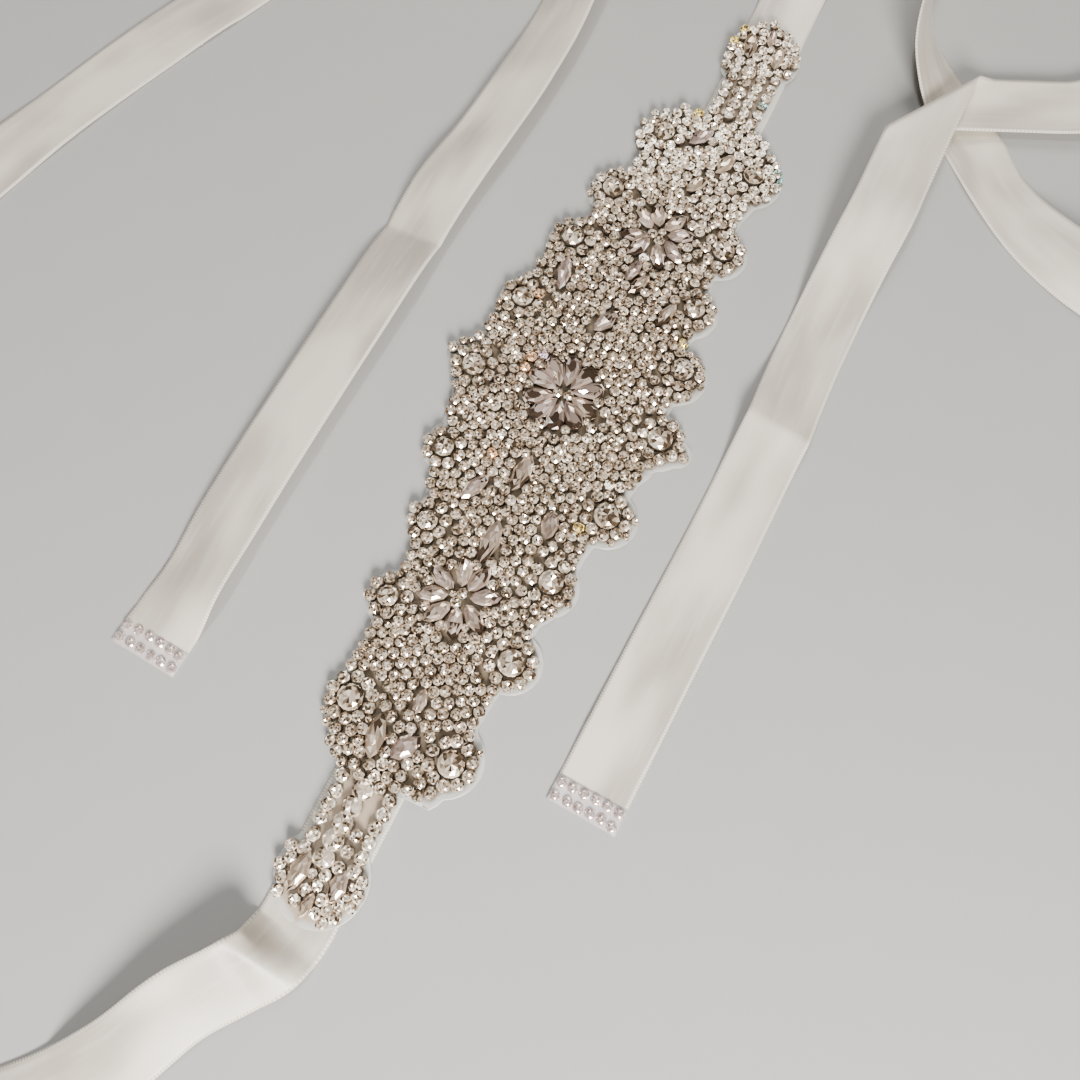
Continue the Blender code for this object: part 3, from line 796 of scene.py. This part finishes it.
green_haze = ((0.70, 0.72, 0.68), (0.86, 0.87, 0.83))
film_with_painted_shade, milky = film_finish("film_with_painted_shade", *green_haze)
# Inside its margin the film is painted dark as the shade between the stones, and a lighter tan on the
# necks; it is more opaque and rougher there.
gap_shade_share = film_with_painted_shade.painted("gap_shade")
on_neck = gap_shade_share.beside("Green")
gap_shade_tone = film_with_painted_shade.mix(on_neck, opaque((0.16, 0.122, 0.078)), opaque((0.42, 0.335, 0.25)))
film_with_painted_shade.feed("Base Color", film_with_painted_shade.mix(gap_shade_share, milky, gap_shade_tone))
film_with_painted_shade.feed("Alpha", 0.5 + gap_shade_share * 0.5)
film_with_painted_shade.feed("Roughness", 0.26 + gap_shade_share * 0.5)

film = add_piece("film", bm, film_with_painted_shade.owner, smooth=True)
thicken(film, "film_thickness", FILM_THICKNESS)
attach(film, "root")
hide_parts("film_backing")


# The round crystals, one on each scallop: foil-backed cut glass in a stamped metal cup with eight claws.
# The cups stand on the film, which is painted dark under and between them as shade.

STONE_FLOOR = FILM_REST + FILM_THICKNESS
CLAW_LEAN = math.radians(-34.0)
SORTED_ALONG = Vector((1.0, 0.618, 97.0))
CRYSTALS = (
    # x, y and width in mm
    (-109.6, 14.2, 7.8),
    (-78.6, 19.3, 6.4),
    (-52.6, 20.2, 6.4),
    (-29.4, 27.2, 6.4),
    (-0.2, 32.2, 7.4),
    (28.8, 29.2, 7.0),
    (57.0, 24.8, 7.6),
    (80.4, 20.8, 7.2),
    (109.4, 14.6, 7.0),
    (-113.0, -20.4, 8.0),
    (-79.8, -22.8, 8.2),
    (-52.8, -22.4, 7.6),
    (-26.0, -28.2, 8.4),
    (4.4, -32.4, 8.0),
    (29.4, -28.6, 7.6),
    (51.2, -23.0, 7.2),
    (75.6, -22.8, 7.6),
    (107.6, -20.2, 7.4),
)
rng = random.Random(11)


def any_turn():
    return rng.uniform(0.0, 6.28)


def cut_form(sides, width, steps, hollow=0.0):
    """A form with flat facets: a ring of points, raised, turned and drawn in step by step, and closed at
    both ends. Each step is the share of the width, the height in metres and the turn in ring steps. A
    hollow splits the top into a star of facets, whose middle lies that much lower."""
    bm = bmesh.new()
    bmesh.ops.create_circle(bm, segments=sides, radius=0.5 * width * steps[0][0], cap_ends=True)
    bmesh.ops.translate(bm, verts=bm.verts[:], vec=(0.0, 0.0, steps[0][1]))
    edges = bm.edges[:]
    share, height, turn = steps[0]
    for next_share, next_height, next_turn in steps[1:]:
        made = bmesh.ops.extrude_edge_only(bm, edges=edges)["geom"]
        ring = [part for part in made if isinstance(part, bmesh.types.BMVert)]
        edges = [p for p in made if isinstance(p, bmesh.types.BMEdge) and set(p.verts) <= set(ring)]
        grow = next_share / share
        bmesh.ops.scale(bm, verts=ring, vec=(grow, grow, 1.0))
        turned = Matrix.Rotation(2.0 * math.pi * (next_turn - turn) / sides, 3, "Z")
        bmesh.ops.rotate(bm, verts=ring, cent=(0.0, 0.0, 0.0), matrix=turned)
        bmesh.ops.translate(bm, verts=ring, vec=(0.0, 0.0, next_height - height))
        share, height, turn = next_share, next_height, next_turn
    top = bmesh.ops.contextual_create(bm, geom=edges)["faces"]
    if hollow:
        star = bmesh.ops.poke(bm, faces=top)["verts"]
        bmesh.ops.translate(bm, verts=star, vec=(0.0, 0.0, -hollow))
    sides_left = [face for face in bm.faces if len(face.verts) == 4]
    bmesh.ops.triangulate(bm, faces=sides_left)
    bmesh.ops.recalc_face_normals(bm, faces=bm.faces[:])
    return bm


def add_claws(bm, count, radius, top, size):
    """Claws that rise from the rim of a cup and bend in over the stone."""
    for i in range(count):
        made = bmesh.ops.create_cone(
            bm, segments=4, radius1=size, radius2=0.45 * size, depth=2.6 * size, cap_ends=True
        )["verts"]
        lean = Matrix.Rotation(CLAW_LEAN, 3, "Y")
        bmesh.ops.rotate(bm, verts=made, cent=(0.0, 0.0, 0.0), matrix=lean)
        bmesh.ops.translate(bm, verts=made, vec=(radius, 0.0, top))
        round_cup = Matrix.Rotation(2.0 * math.pi * (i + 0.5) / count, 3, "Z")
        bmesh.ops.rotate(bm, verts=made, cent=(0.0, 0.0, 0.0), matrix=round_cup)
    return bm


def kept_mesh(bm):
    """A form as a mesh to copy. New facets come in no fixed order, so they are sorted along a slanting
    line: every run then gives each facet the same shade."""
    bm.verts.sort(key=lambda vert: vert.co.dot(SORTED_ALONG))
    bm.faces.sort(key=lambda face: face.calc_center_median().dot(SORTED_ALONG))
    mesh = bpy.data.meshes.new("pattern")
    bm.to_mesh(mesh)
    bm.free()
    return mesh


class Tray:
    """Copies of a few pattern meshes, joined into one mesh. Each facet gets a shade of its own."""

    def __init__(self):
        self.bm = bmesh.new()
        self.shade = self.bm.loops.layers.float_color.new("shade")
        self.kinds = []

    def add(self, pattern, matrix, shade_of):
        laid = pattern.copy()
        laid.transform(matrix)
        self.bm.from_mesh(laid)
        bpy.data.meshes.remove(laid)
        for facet in pattern.polygons:
            self.kinds.append((shade_of, facet.center.copy()))

    def finished(self):
        for face, (shade_of, middle) in zip(self.bm.faces, self.kinds):
            colour = shade_of(middle)
            for loop in face.loops:
                loop[self.shade] = colour
        return self.bm


def at_spot(x, y, turn, tilt, tilt_to):
    """The place of a stone: its spot on the film in mm, its turn, and how far it leans and where to."""
    lean = Matrix.Rotation(tilt, 4, Vector((math.cos(tilt_to), math.sin(tilt_to), 0.0)))
    spot = (x * MM, y * MM, STONE_FLOOR + settle(y * MM))
    return Matrix.Translation(spot) @ lean @ Matrix.Rotation(turn, 4, "Z")


def sized(length, width, rise=1.0):
    """A stone's length and width in mm, and how high it is for its kind."""
    return Matrix.Diagonal((length * MM, width * MM, rise, 1.0))


def glass_shade(dark, bright, lift=0.0, sparkle=0.04):
    """Gives each facet a painted shade from 0, dark, to 1, sparkling: painted reflections and highlights.
    One side of a stone is painted with more light.
    """
    lit_from = rng.uniform(0.0, 2.0 * math.pi)

    def shade_of(middle):
        facing = 1.6 * (middle.x * math.cos(lit_from) + middle.y * math.sin(lit_from))
        chance = rng.random()
        if chance < dark * (1.0 - facing):
            value = rng.uniform(0.0, 0.24)
        elif chance > 1.0 - bright * (1.0 + facing):
            value = 1.0 if rng.random() < sparkle else rng.uniform(0.84, 0.985)
        else:
            value = rng.uniform(0.28 + lift, 0.78 + 0.5 * lift)
        return (value, 0.0, 0.0, 1.0)

    return shade_of


def cup_shade(claws_from, wall_shade_tone):
    """The wall of a cup is dull metal, painted darker as the shade between the stones, and its claws are
    painted bright as highlights.
    """

    def shade_of(middle):
        tone = 0.9 if middle.z > claws_from else wall_shade_tone
        return (tone, 0.0, 0.0, 1.0)

    return shade_of


crystal = kept_mesh(cut_form(12, 1.0, (
    (0.97, 2.4 * MM, 0.0), (1.0, 2.65 * MM, 0.0), (0.80, 3.45 * MM, 0.5), (0.50, 4.05 * MM, 0.0),
), 0.35 * MM))
crystal_cup = kept_mesh(add_claws(cut_form(16, 1.0, (
    (0.86, 0.0, 0.0), (1.0, 1.6 * MM, 0.0), (1.0, 2.2 * MM, 0.0), (0.94, 2.2 * MM, 0.0),
)), 8, 0.505, 2.75 * MM, 0.34 * MM))

glass = Tray()
cups = Tray()
for x, y, width in CRYSTALS:
    lean = (rng.uniform(0.0, 0.10), any_turn())
    spot = at_spot(x, y, any_turn(), *lean) @ sized(width, width)
    glass.add(crystal, spot, glass_shade(0.27, 0.42))
    cups.add(crystal_cup, spot, cup_shade(2.5 * MM, 0.35))


# The navettes: long cut stones of grey and mauve glass in thin rims. Ten stand like petals round the
# middle of the belt: drops, pointed only inwards. The others are pointed at both ends. Eight stand
# round each side flower, and the rest lie in and beside the axis.

NAVETTES = (
    # x, y, length, width in mm, turn in degrees, how mauve, how dark
    (-50.0, 0.0, 14.4, 6.4, 2.0, 0.4, 0.34),
    (-26.0, 1.4, 13.4, 5.8, -2.0, 0.3, 0.34),
    (33.4, 0.8, 11.0, 5.6, -24.0, 0.7, 0.30),
    (54.6, 1.0, 9.5, 4.4, -8.0, 0.9, 0.05),
    (50.6, -3.0, 9.8, 4.4, -22.0, 0.2, 0.40),
    (-36.6, 12.3, 11.4, 5.2, -20.0, 0.8, 0.15),
    (-37.0, -13.8, 9.8, 5.8, 12.0, 0.6, 0.12),
    (43.2, 21.2, 12.8, 5.0, 12.0, 0.9, 0.05),
    (44.5, -15.6, 10.8, 4.6, -15.0, 0.3, 0.35),
    (-115.8, 2.4, 13.2, 6.0, 14.0, 0.1, 0.25),
    (-114.6, -6.8, 10.4, 6.4, -28.0, 0.8, 0.25),
    (-101.6, -4.4, 8.0, 4.2, 6.0, 0.4, 0.15),
    (113.2, 2.2, 10.4, 5.0, -34.0, 1.0, 0.10),
    (106.8, -9.6, 10.0, 5.4, -20.0, 0.0, 0.10),
    (95.0, -4.4, 9.8, 5.0, -28.0, 0.1, 0.35),
    (-156.8, 3.2, 12.2, 5.6, -3.0, 0.2, 0.15),
    (-155.8, -8.4, 9.8, 5.4, 0.0, 0.5, 0.12),
    (-163.6, -3.2, 7.4, 3.4, -4.0, 0.2, 0.05),
    (157.4, 2.4, 12.0, 5.4, 14.0, 0.1, 0.15),
    (156.8, -8.6, 10.8, 5.0, 8.0, 0.1, 0.15),
    (163.8, -3.2, 7.6, 3.6, 10.0, 0.3, 0.10),
)
FLOWERS = (
    # x, y, radius in mm, petals, first turn, length, width, looseness, round outer ends
    (4.0, 1.8, 7.9, 10, 12.0, 10.6, 5.9, 3.0, True),
    (-69.4, 0.2, 8.0, 8, 22.5, 9.8, 5.4, 7.0, False),
    (70.4, -0.8, 8.0, 8, 20.0, 9.8, 5.4, 7.0, False),
)


def drop_place(x):
    """Where a place along a navette goes when its widest part moves towards the high X."""
    return x + 0.64 * (0.25 - x * x)


def draw_to_points(bm, round_end=False):
    """Turns a round form into one that is pointed at both ends, or only at the end with the low X: that
    one is widest near its round end, like a drop."""
    reach = {}
    for vert in bm.verts:
        key = round(vert.co.z, 6)
        reach[key] = max(reach.get(key, 0.0), vert.co.xy.length)
    for vert in bm.verts:
        radius = reach[round(vert.co.z, 6)]
        lean = abs(vert.co.y) / radius if radius > 0.0 else 1.0
        if not (round_end and vert.co.x > 0.0):
            vert.co.y *= 0.48 + 0.52 * lean
        if round_end:
            vert.co.x = drop_place(vert.co.x)
    return bm


def petal_shade(mauve, dark, dark_end):
    """A navette is a calm grey or mauve, with painted facet shades: its painted dark reflections lie
    together at one end.
    """
    calm = rng.uniform(0.46, 0.60)

    def shade_of(middle):
        near_end = 2.0 * dark_end * middle.x
        chance = rng.random()
        value = calm + rng.uniform(-0.18, 0.22)
        if chance < dark * (0.3 + 2.8 * near_end):
            value = rng.uniform(0.0, 0.10)
        elif chance > 0.88:
            value = rng.uniform(0.8, 1.0)
        return (value, 0.0, mauve, 1.0)

    return shade_of


navette = kept_mesh(draw_to_points(cut_form(8, 1.0, (
    (0.97, 1.9 * MM, 0.0), (1.0, 2.15 * MM, 0.0), (0.76, 2.9 * MM, 0.0), (0.44, 3.35 * MM, 0.0),
), 0.18 * MM)))
petal = kept_mesh(draw_to_points(cut_form(8, 1.0, (
    (0.97, 1.9 * MM, 0.0), (1.0, 2.15 * MM, 0.0), (0.74, 2.95 * MM, 0.0), (0.42, 3.35 * MM, 0.0),
)), True))
CUP_STEPS = ((0.82, 0.0, 0.0), (0.97, 1.3 * MM, 0.0), (0.97, 1.9 * MM, 0.0), (0.90, 1.9 * MM, 0.0))
navette_cup = kept_mesh(draw_to_points(cut_form(8, 1.0, CUP_STEPS)))
petal_cup = kept_mesh(draw_to_points(cut_form(8, 1.0, CUP_STEPS), True))

petals = []
for x, y, length, width, turn, mauve, dark in NAVETTES:
    dark_end = rng.choice((-1.0, 1.0))
    tone = (mauve, dark, dark_end)
    petals.append((x, y, length, width, math.radians(turn), *tone, navette, navette_cup))
for x, y, radius, count, first, length, width, loose, round_ends in FLOWERS:
    for i in range(count):
        turn = math.radians(first + 360.0 / count * i + rng.uniform(-loose, loose))
        spot = (x + radius * math.cos(turn), y + radius * math.sin(turn))
        turn += math.radians(rng.uniform(-loose, loose))
        tone = (rng.uniform(0.3, 0.9), rng.choice((0.14, 0.24, 0.40)), 1.0)
        forms = (petal, petal_cup) if round_ends else (navette, navette_cup)
        petals.append((*spot, length, width, turn, *tone, *forms))
for x, y, length, width, turn, mauve, dark, dark_end, form, cup in petals:
    lean = (rng.uniform(-0.07, 0.07), rng.uniform(0.0, 3.14))
    spot = at_spot(x, y, turn, *lean) @ sized(length, width)
    glass.add(form, spot, petal_shade(mauve, dark, dark_end))
    cups.add(cup, spot, cup_shade(2.05 * MM, 0.2))


# The small stones: foil-backed chatons, just under 4 mm across in their four-clawed cups, packed side by
# side over the whole applique. A ring goes round each crystal, rows run along the necks with larger
# crystals in their middle, and smaller stones fill what is left.

CUP_WIDTH = 3.7
RING_CUP = 4.1
SMALLEST_CUP = 2.2
PACKING_ROUNDS = 70
SEARCH_STEP = 0.5

# Packing, in mm: a ring's gap to its crystal, how near the rows lie, how far fillers press in, where
# rows and fillers begin at the left end, and the area that is searched.
RING_GAP = 0.25
PRESSED = 0.99
ROW_SHARE = 0.866
FILLER_PRESS = 0.15
ROWS_FROM = -166.0
FILLERS_FROM = -165.0
FIRST_X = -171.0
NEAREST_Y = -44.0
FARTHEST_Y = 43.0
ROWS_LENGTH = 344.0
ROWS_DEPTH = 90.0

GLINT_REACH = 2.2
LARGE_HALF = 2.5
NECK_CRYSTAL_RISE = 0.75
NECK_ROWS = (
    # x first, y first, x last, y last, stones, width in mm
    (-151.0, 4.9, -129.4, 5.2, 6, 4.4),
    (-150.8, -1.0, -130.4, -1.8, 5, 6.2),
    (-151.4, -6.2, -142.2, -6.2, 3, 3.9),
    (-150.6, -10.4, -129.6, -10.3, 6, 4.4),
    (126.0, 2.9, 146.0, 3.3, 6, 4.1),
    (126.6, -2.2, 146.6, -1.6, 5, 5.1),
    (126.0, -7.0, 145.4, -6.8, 6, 4.0),
    (127.0, -11.6, 147.2, -11.8, 6, 4.0),
)
GLINT_PLACES = {
    # x and y in mm: the stones near these places get a painted white sparkle or painted coloured glints
    "white": (
        (-124.0, -3.6), (-104.4, 13.0), (-95.8, -14.8), (-82.6, -15.4), (-57.8, -5.0), (-46.0, -22.6),
        (-14.6, -7.4), (-6.0, -13.6), (-16.0, 13.6), (-16.2, -26.0), (1.0, -1.6), (14.8, 28.8),
        (59.6, 1.8), (102.8, -8.8), (140.6, -11.8), (-165.4, 1.6), (-157.0, 8.6), (-153.0, -14.6),
    ),
    "peach": (
        (-24.4, 12.0), (5.6, 17.6), (12.0, 15.8), (31.4, 24.2),
    ),
    "citrine": (
        (-31.6, -21.2), (38.8, -25.0), (122.6, 6.6), (158.0, 8.8), (162.4, 6.8),
    ),
    "cyan": (
        (110.6, -28.4), (15.4, 3.4), (134.6, -11.6),
    ),
    "lilac": (
        (13.8, 12.8), (-136.8, -2.6),
    ),
}
GLINT_TONES = {"white": 0.0, "peach": 0.25, "citrine": 0.5, "cyan": 0.75, "lilac": 1.0}


def away_from(spots, discs):
    """The distances from each spot to the rim of each disc."""
    return np.hypot(spots[:, None, 0] - discs[:, 0], spots[:, None, 1] - discs[:, 1]) - discs[:, 2]


def petal_discs():
    discs = []
    for x, y, length, width, turn, *_, form, _ in petals:
        for step in (-0.42, -0.32, -0.18, 0.0, 0.18, 0.32, 0.42):
            share = 1.0 - (2.0 * abs(step)) ** 2
            if form is petal:
                step = drop_place(step)
            radius = 0.45 * width * share
            away = step * length
            discs.append((x + away * math.cos(turn), y + away * math.sin(turn), radius))
    return discs


def ring_stones(edge, discs):
    """The ring of small stones round each crystal."""
    found = []
    half = RING_CUP / 2
    for x, y, width in CRYSTALS:
        radius = width / 2 + half + RING_GAP
        count = round(2.0 * math.pi * radius / RING_CUP)
        first = any_turn()
        for i in range(count):
            angle = first + 2.0 * math.pi * i / count
            spot = np.array([[x + radius * math.cos(angle), y + radius * math.sin(angle)]])
            others = np.array(discs + found)
            clear = away_from(spot, others).min() > 0.82 * half
            if clear and edge.room(*spot[0])[0] > 0.72 * half:
                found.append((*spot[0], half))
    return found


def packed_rows(edge, discs):
    """Rows of stones along the belt, pushed apart until they touch but don't overlap."""
    half = CUP_WIDTH / 2
    pitch = CUP_WIDTH * PRESSED
    spots = []
    for j in range(int(ROWS_DEPTH / (pitch * ROW_SHARE))):
        y = NEAREST_Y + j * pitch * ROW_SHARE
        for i in range(int(ROWS_LENGTH / pitch)):
            x = FIRST_X + (i + 0.5 * (j % 2)) * pitch
            if not in_neck(x) and edge.room(x, y)[0] > 0.3 * half:
                spots.append((x + rng.uniform(-0.3, 0.3), y + rng.uniform(-0.3, 0.3)))
    spots = np.array(spots)
    spots = spots[away_from(spots, discs).min(axis=1) > 0.35 * half]
    for _ in range(PACKING_ROUNDS):
        gap = spots[:, None] - spots[None]
        distance = np.hypot(gap[..., 0], gap[..., 1]) + 99.0 * np.eye(len(spots))
        close = np.clip(pitch - distance, 0.0, None) / distance
        push = 0.5 * (gap * close[..., None]).sum(axis=1)
        gap = spots[:, None] - discs[None, :, :2]
        distance = np.maximum(np.hypot(gap[..., 0], gap[..., 1]), 0.1)
        close = np.clip(half + discs[:, 2] - distance, 0.0, None) / distance
        push += (gap * close[..., None]).sum(axis=1)
        for i, (x, y) in enumerate(spots):
            room, inward = edge.room(x, y)
            if room < 1.35 * half:
                push[i] += np.array(inward) * (half - room)
        spots = spots + 0.5 * push
    kept = []
    for spot in spots:
        clear = not kept or away_from(spot[None], np.array(kept)).min() > 0.66 * half
        if clear and away_from(spot[None], discs).min() > 0.74 * half:
            if spot[0] > ROWS_FROM and edge.room(*spot)[0] > 0.7 * half:
                kept.append((*spot, half))
    return kept


def gap_fillers(edge, taken):
    """Stones for the gaps, the largest that fit first."""
    spots = []
    room = []
    for x in np.arange(FILM_LEFT, FILM_RIGHT, SEARCH_STEP):
        if in_neck(x) and x < 0.0:
            continue
        for y in np.arange(NEAREST_Y, FARTHEST_Y, SEARCH_STEP):
            if x > FILLERS_FROM and -film_reach(x, -1) < y < film_reach(x, 1):
                spots.append((x, y))
                room.append(edge.room(x, y)[0])
    spots = np.array(spots)
    room = np.array(room)
    for disc in taken:
        room = np.minimum(room, np.hypot(spots[:, 0] - disc[0], spots[:, 1] - disc[1]) - disc[2])
    found = []
    while room.max() > 0.5 * SMALLEST_CUP - FILLER_PRESS:
        best = room.argmax()
        radius = min(CUP_WIDTH / 2, room[best] + FILLER_PRESS)
        x, y = spots[best]
        found.append((x, y, radius))
        room = np.minimum(room, np.hypot(spots[:, 0] - x, spots[:, 1] - y) - radius)
    return found


def small_shade(x, y):
    """Most stones are clear, with painted facet shades. The ones near the places listed get painted white
    sparkle or coloured glints.
    """
    kind = None
    for name, places in GLINT_PLACES.items():
        if any(math.hypot(x - px, y - py) < GLINT_REACH for px, py in places):
            kind = name
    if kind is None:
        # Towards the right end and on the necks the stones are painted brighter and with more sparkle:
        # painted light.
        gleam = max(ease((x - 60.0) / 50.0), 0.65 * neck_share(x))
        dark = rng.uniform(0.12, 0.36) * (1.0 - 0.45 * gleam)
        bright = rng.uniform(0.22, 0.48) + 0.30 * gleam
        return glass_shade(dark, bright, 0.12 * gleam, 0.04 + 0.24 * gleam)

    def shade_of(middle):
        # Painted glints: many facets at full brightness, and the bright ones mostly coloured.
        value = rng.choice((0.1, 0.5, 0.8, 0.95, 1.0))
        glinting = 1.0 if value > 0.9 or rng.random() < 0.3 else 0.0
        return (value, glinting * GLINT_TONES[kind], 0.0, 1.0)

    return shade_of


small_stone = kept_mesh(cut_form(8, 1.0, (
    (0.97, 1.6 * MM, 0.0), (1.0, 1.8 * MM, 0.0), (0.80, 2.3 * MM, 0.5), (0.48, 2.7 * MM, 0.0),
), 0.3 * MM))
small_cup = kept_mesh(add_claws(cut_form(8, 1.0, (
    (0.78, 0.0, 0.0), (1.0, 1.0 * MM, 0.0), (1.0, 1.7 * MM, 0.0),
)), 4, 0.48, 1.85 * MM, 0.28 * MM))

discs = [(x, y, 0.54 * width) for x, y, width in CRYSTALS] + petal_discs()
rings = ring_stones(edge, discs)
neck_stones = []
for x0, y0, x1, y1, count, width in NECK_ROWS:
    for i in range(count):
        t = i / (count - 1)
        neck_stones.append((x0 + (x1 - x0) * t, y0 + (y1 - y0) * t, width / 2))
packed = packed_rows(edge, np.array(discs + rings + neck_stones))
fillers = gap_fillers(edge, discs + rings + neck_stones + packed)
for x, y, half in rings + neck_stones + packed + fillers:
    lean = (rng.uniform(0.0, 0.24), any_turn())
    spot = at_spot(x, y, any_turn(), *lean)
    if half > LARGE_HALF:
        spot = spot @ sized(2.0 * half, 2.0 * half, NECK_CRYSTAL_RISE)
        glass.add(crystal, spot, glass_shade(0.16, 0.56, 0.2))
        cups.add(crystal_cup, spot, cup_shade(2.5 * MM, 0.35))
    else:
        spot = spot @ sized(2.0 * half, 2.0 * half)
        glass.add(small_stone, spot, small_shade(x, y))
        cups.add(small_cup, spot, cup_shade(1.75 * MM, 0.25))

cut_glass = material_finish("foiled_cut_glass", Metallic=0.6, Roughness=0.06)
cut_glass.shader.inputs["Specular IOR Level"].default_value = 0.8
tones = cut_glass.painted("shade")
# The painted shade of each facet, from dark reflection to painted highlight, in the warm colour of the
# foiled glass.
facet_shade_stops = (
    (0.0, (0.055, 0.034, 0.02)),
    (0.20, (0.17, 0.115, 0.068)),
    (0.50, (0.52, 0.40, 0.285)),
    (0.80, (0.93, 0.745, 0.56)),
    (1.0, (1.0, 0.91, 0.76)),
)
painted_sparkle_stops = (
    # the brightest facets give back light from inside the stone
    # painted sparkle: the brightest facets glow with a light of their own, though they are no lamp
    (0.0, (0.0, 0.0, 0.0)),
    (0.90, (0.0, 0.0, 0.0)),
    (0.985, (0.16, 0.15, 0.13)),
    (1.0, (1.0, 0.92, 0.78)),
)
# The colours of the painted glints.
glint_stops = (
    (0.0, (1.0, 1.0, 1.0)),
    (0.25, (1.0, 0.62, 0.38)),
    (0.5, (0.95, 0.82, 0.22)),
    (0.75, (0.35, 0.80, 0.95)),
    (1.0, (0.76, 0.66, 0.95)),
)
clear = cut_glass.ramp(facet_shade_stops, tones)
glint = cut_glass.ramp(glint_stops, tones.beside("Green"))
mauve = cut_glass.mix(tones.beside("Blue"), opaque((1.0, 1.0, 1.0)), opaque((0.85, 0.83, 1.0)))
body = cut_glass.mix(1.0, clear, mauve, "MULTIPLY")
cut_glass.feed("Base Color", cut_glass.mix(1.0, body, glint, "MULTIPLY"))
painted_sparkle = cut_glass.ramp(painted_sparkle_stops, tones)
cut_glass.feed("Emission Color", cut_glass.mix(1.0, painted_sparkle, glint, "MULTIPLY"))
cut_glass.shader.inputs["Emission Strength"].default_value = 2.2

metal = material_finish("stamped_cup_metal", Metallic=0.9, Roughness=0.30)
# From the painted shade of the cup walls to the painted highlight of the claws.
cup_stops = (
    (0.0, (0.045, 0.032, 0.018)),
    (0.3, (0.32, 0.27, 0.215)),
    (1.0, (0.86, 0.82, 0.76)),
)
metal.feed("Base Color", metal.ramp(cup_stops, metal.painted("shade")))

stones = add_piece("cut_stones", glass.finished(), cut_glass.owner)
settings = add_piece("stone_cups", cups.finished(), metal.owner)
for piece in (stones, settings):
    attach(piece, "root")
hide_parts("stone_bed")


# The end strips: the same film, 8 mm deep, with two rows of small flat-backed stones, pressed on the
# end of each tail so that the satin doesn't fray.

STRIP_DEPTH = 8.0 * MM
STRIP_THICKNESS = 0.14 * MM
STRIP_STONES = 6
STRIP_ROWS = (2.0 * MM, 6.2 * MM)
STRIP_TOP = RIBBON_REST + RIBBON_THICKNESS / 2 + 0.12 * MM
END_STONE = 3.3
END_TIPS = (
    # name, node, tip, row before the tip
    ("end_film_a", "end_strip_a", ROUTE_AFTER_FOLD[-1], ROUTE_AFTER_FOLD[-2]),
    ("end_film_b", "end_strip_b", ROUTE_TO_FOLD[0], ROUTE_TO_FOLD[1]),
)


def end_shade(middle):
    """The end stones are pale lilac, with painted facet shades that are all light and none dark."""
    return (rng.choice((0.62, 0.78, 0.92, 0.98)), 0.0, 1.0, 1.0)


end_stone = kept_mesh(cut_form(8, 1.0, (
    (1.0, 0.0, 0.0), (1.0, 0.3 * MM, 0.0), (0.72, 0.8 * MM, 0.5), (0.42, 1.0 * MM, 0.0),
), 0.15 * MM))
end_glass = Tray()
for name, node, tip, inner in END_TIPS:
    last = Vector((tip[0] * MM, tip[1] * MM, 0.0))
    out = (last - Vector((inner[0] * MM, inner[1] * MM, 0.0))).normalized()
    side = Vector((-out.y, out.x, 0.0))
    bm = bmesh.new()
    bmesh.ops.create_grid(bm, x_segments=6, y_segments=14, size=0.5)
    size = Matrix.Diagonal((STRIP_DEPTH, RIBBON_WIDTH, 1.0, 1.0))
    turned = Matrix.Rotation(math.atan2(out.y, out.x), 4, "Z")
    spot = Matrix.Translation(last - out * (STRIP_DEPTH / 2) + UP * STRIP_TOP)
    bmesh.ops.transform(bm, matrix=spot @ turned @ size, verts=bm.verts[:])
    strip = add_piece(name, bm, clear_film.owner, smooth=True)
    thicken(strip, "film_thickness", STRIP_THICKNESS)
    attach(strip, "root")
    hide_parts(node)
    for row in STRIP_ROWS:
        for i in range(STRIP_STONES):
            away = RIBBON_WIDTH * ((i + 0.5) / STRIP_STONES - 0.5) + rng.uniform(-0.25, 0.25) * MM
            spot = last - out * (row + rng.uniform(-0.3, 0.3) * MM) + side * away
            matrix = Matrix.Translation(spot + UP * STRIP_TOP) @ Matrix.Rotation(any_turn(), 4, "Z")
            end_glass.add(end_stone, matrix @ sized(END_STONE, END_STONE), end_shade)
end_stones = add_piece("end_strip_stones", end_glass.finished(), cut_glass.owner)
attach(end_stones, "root")
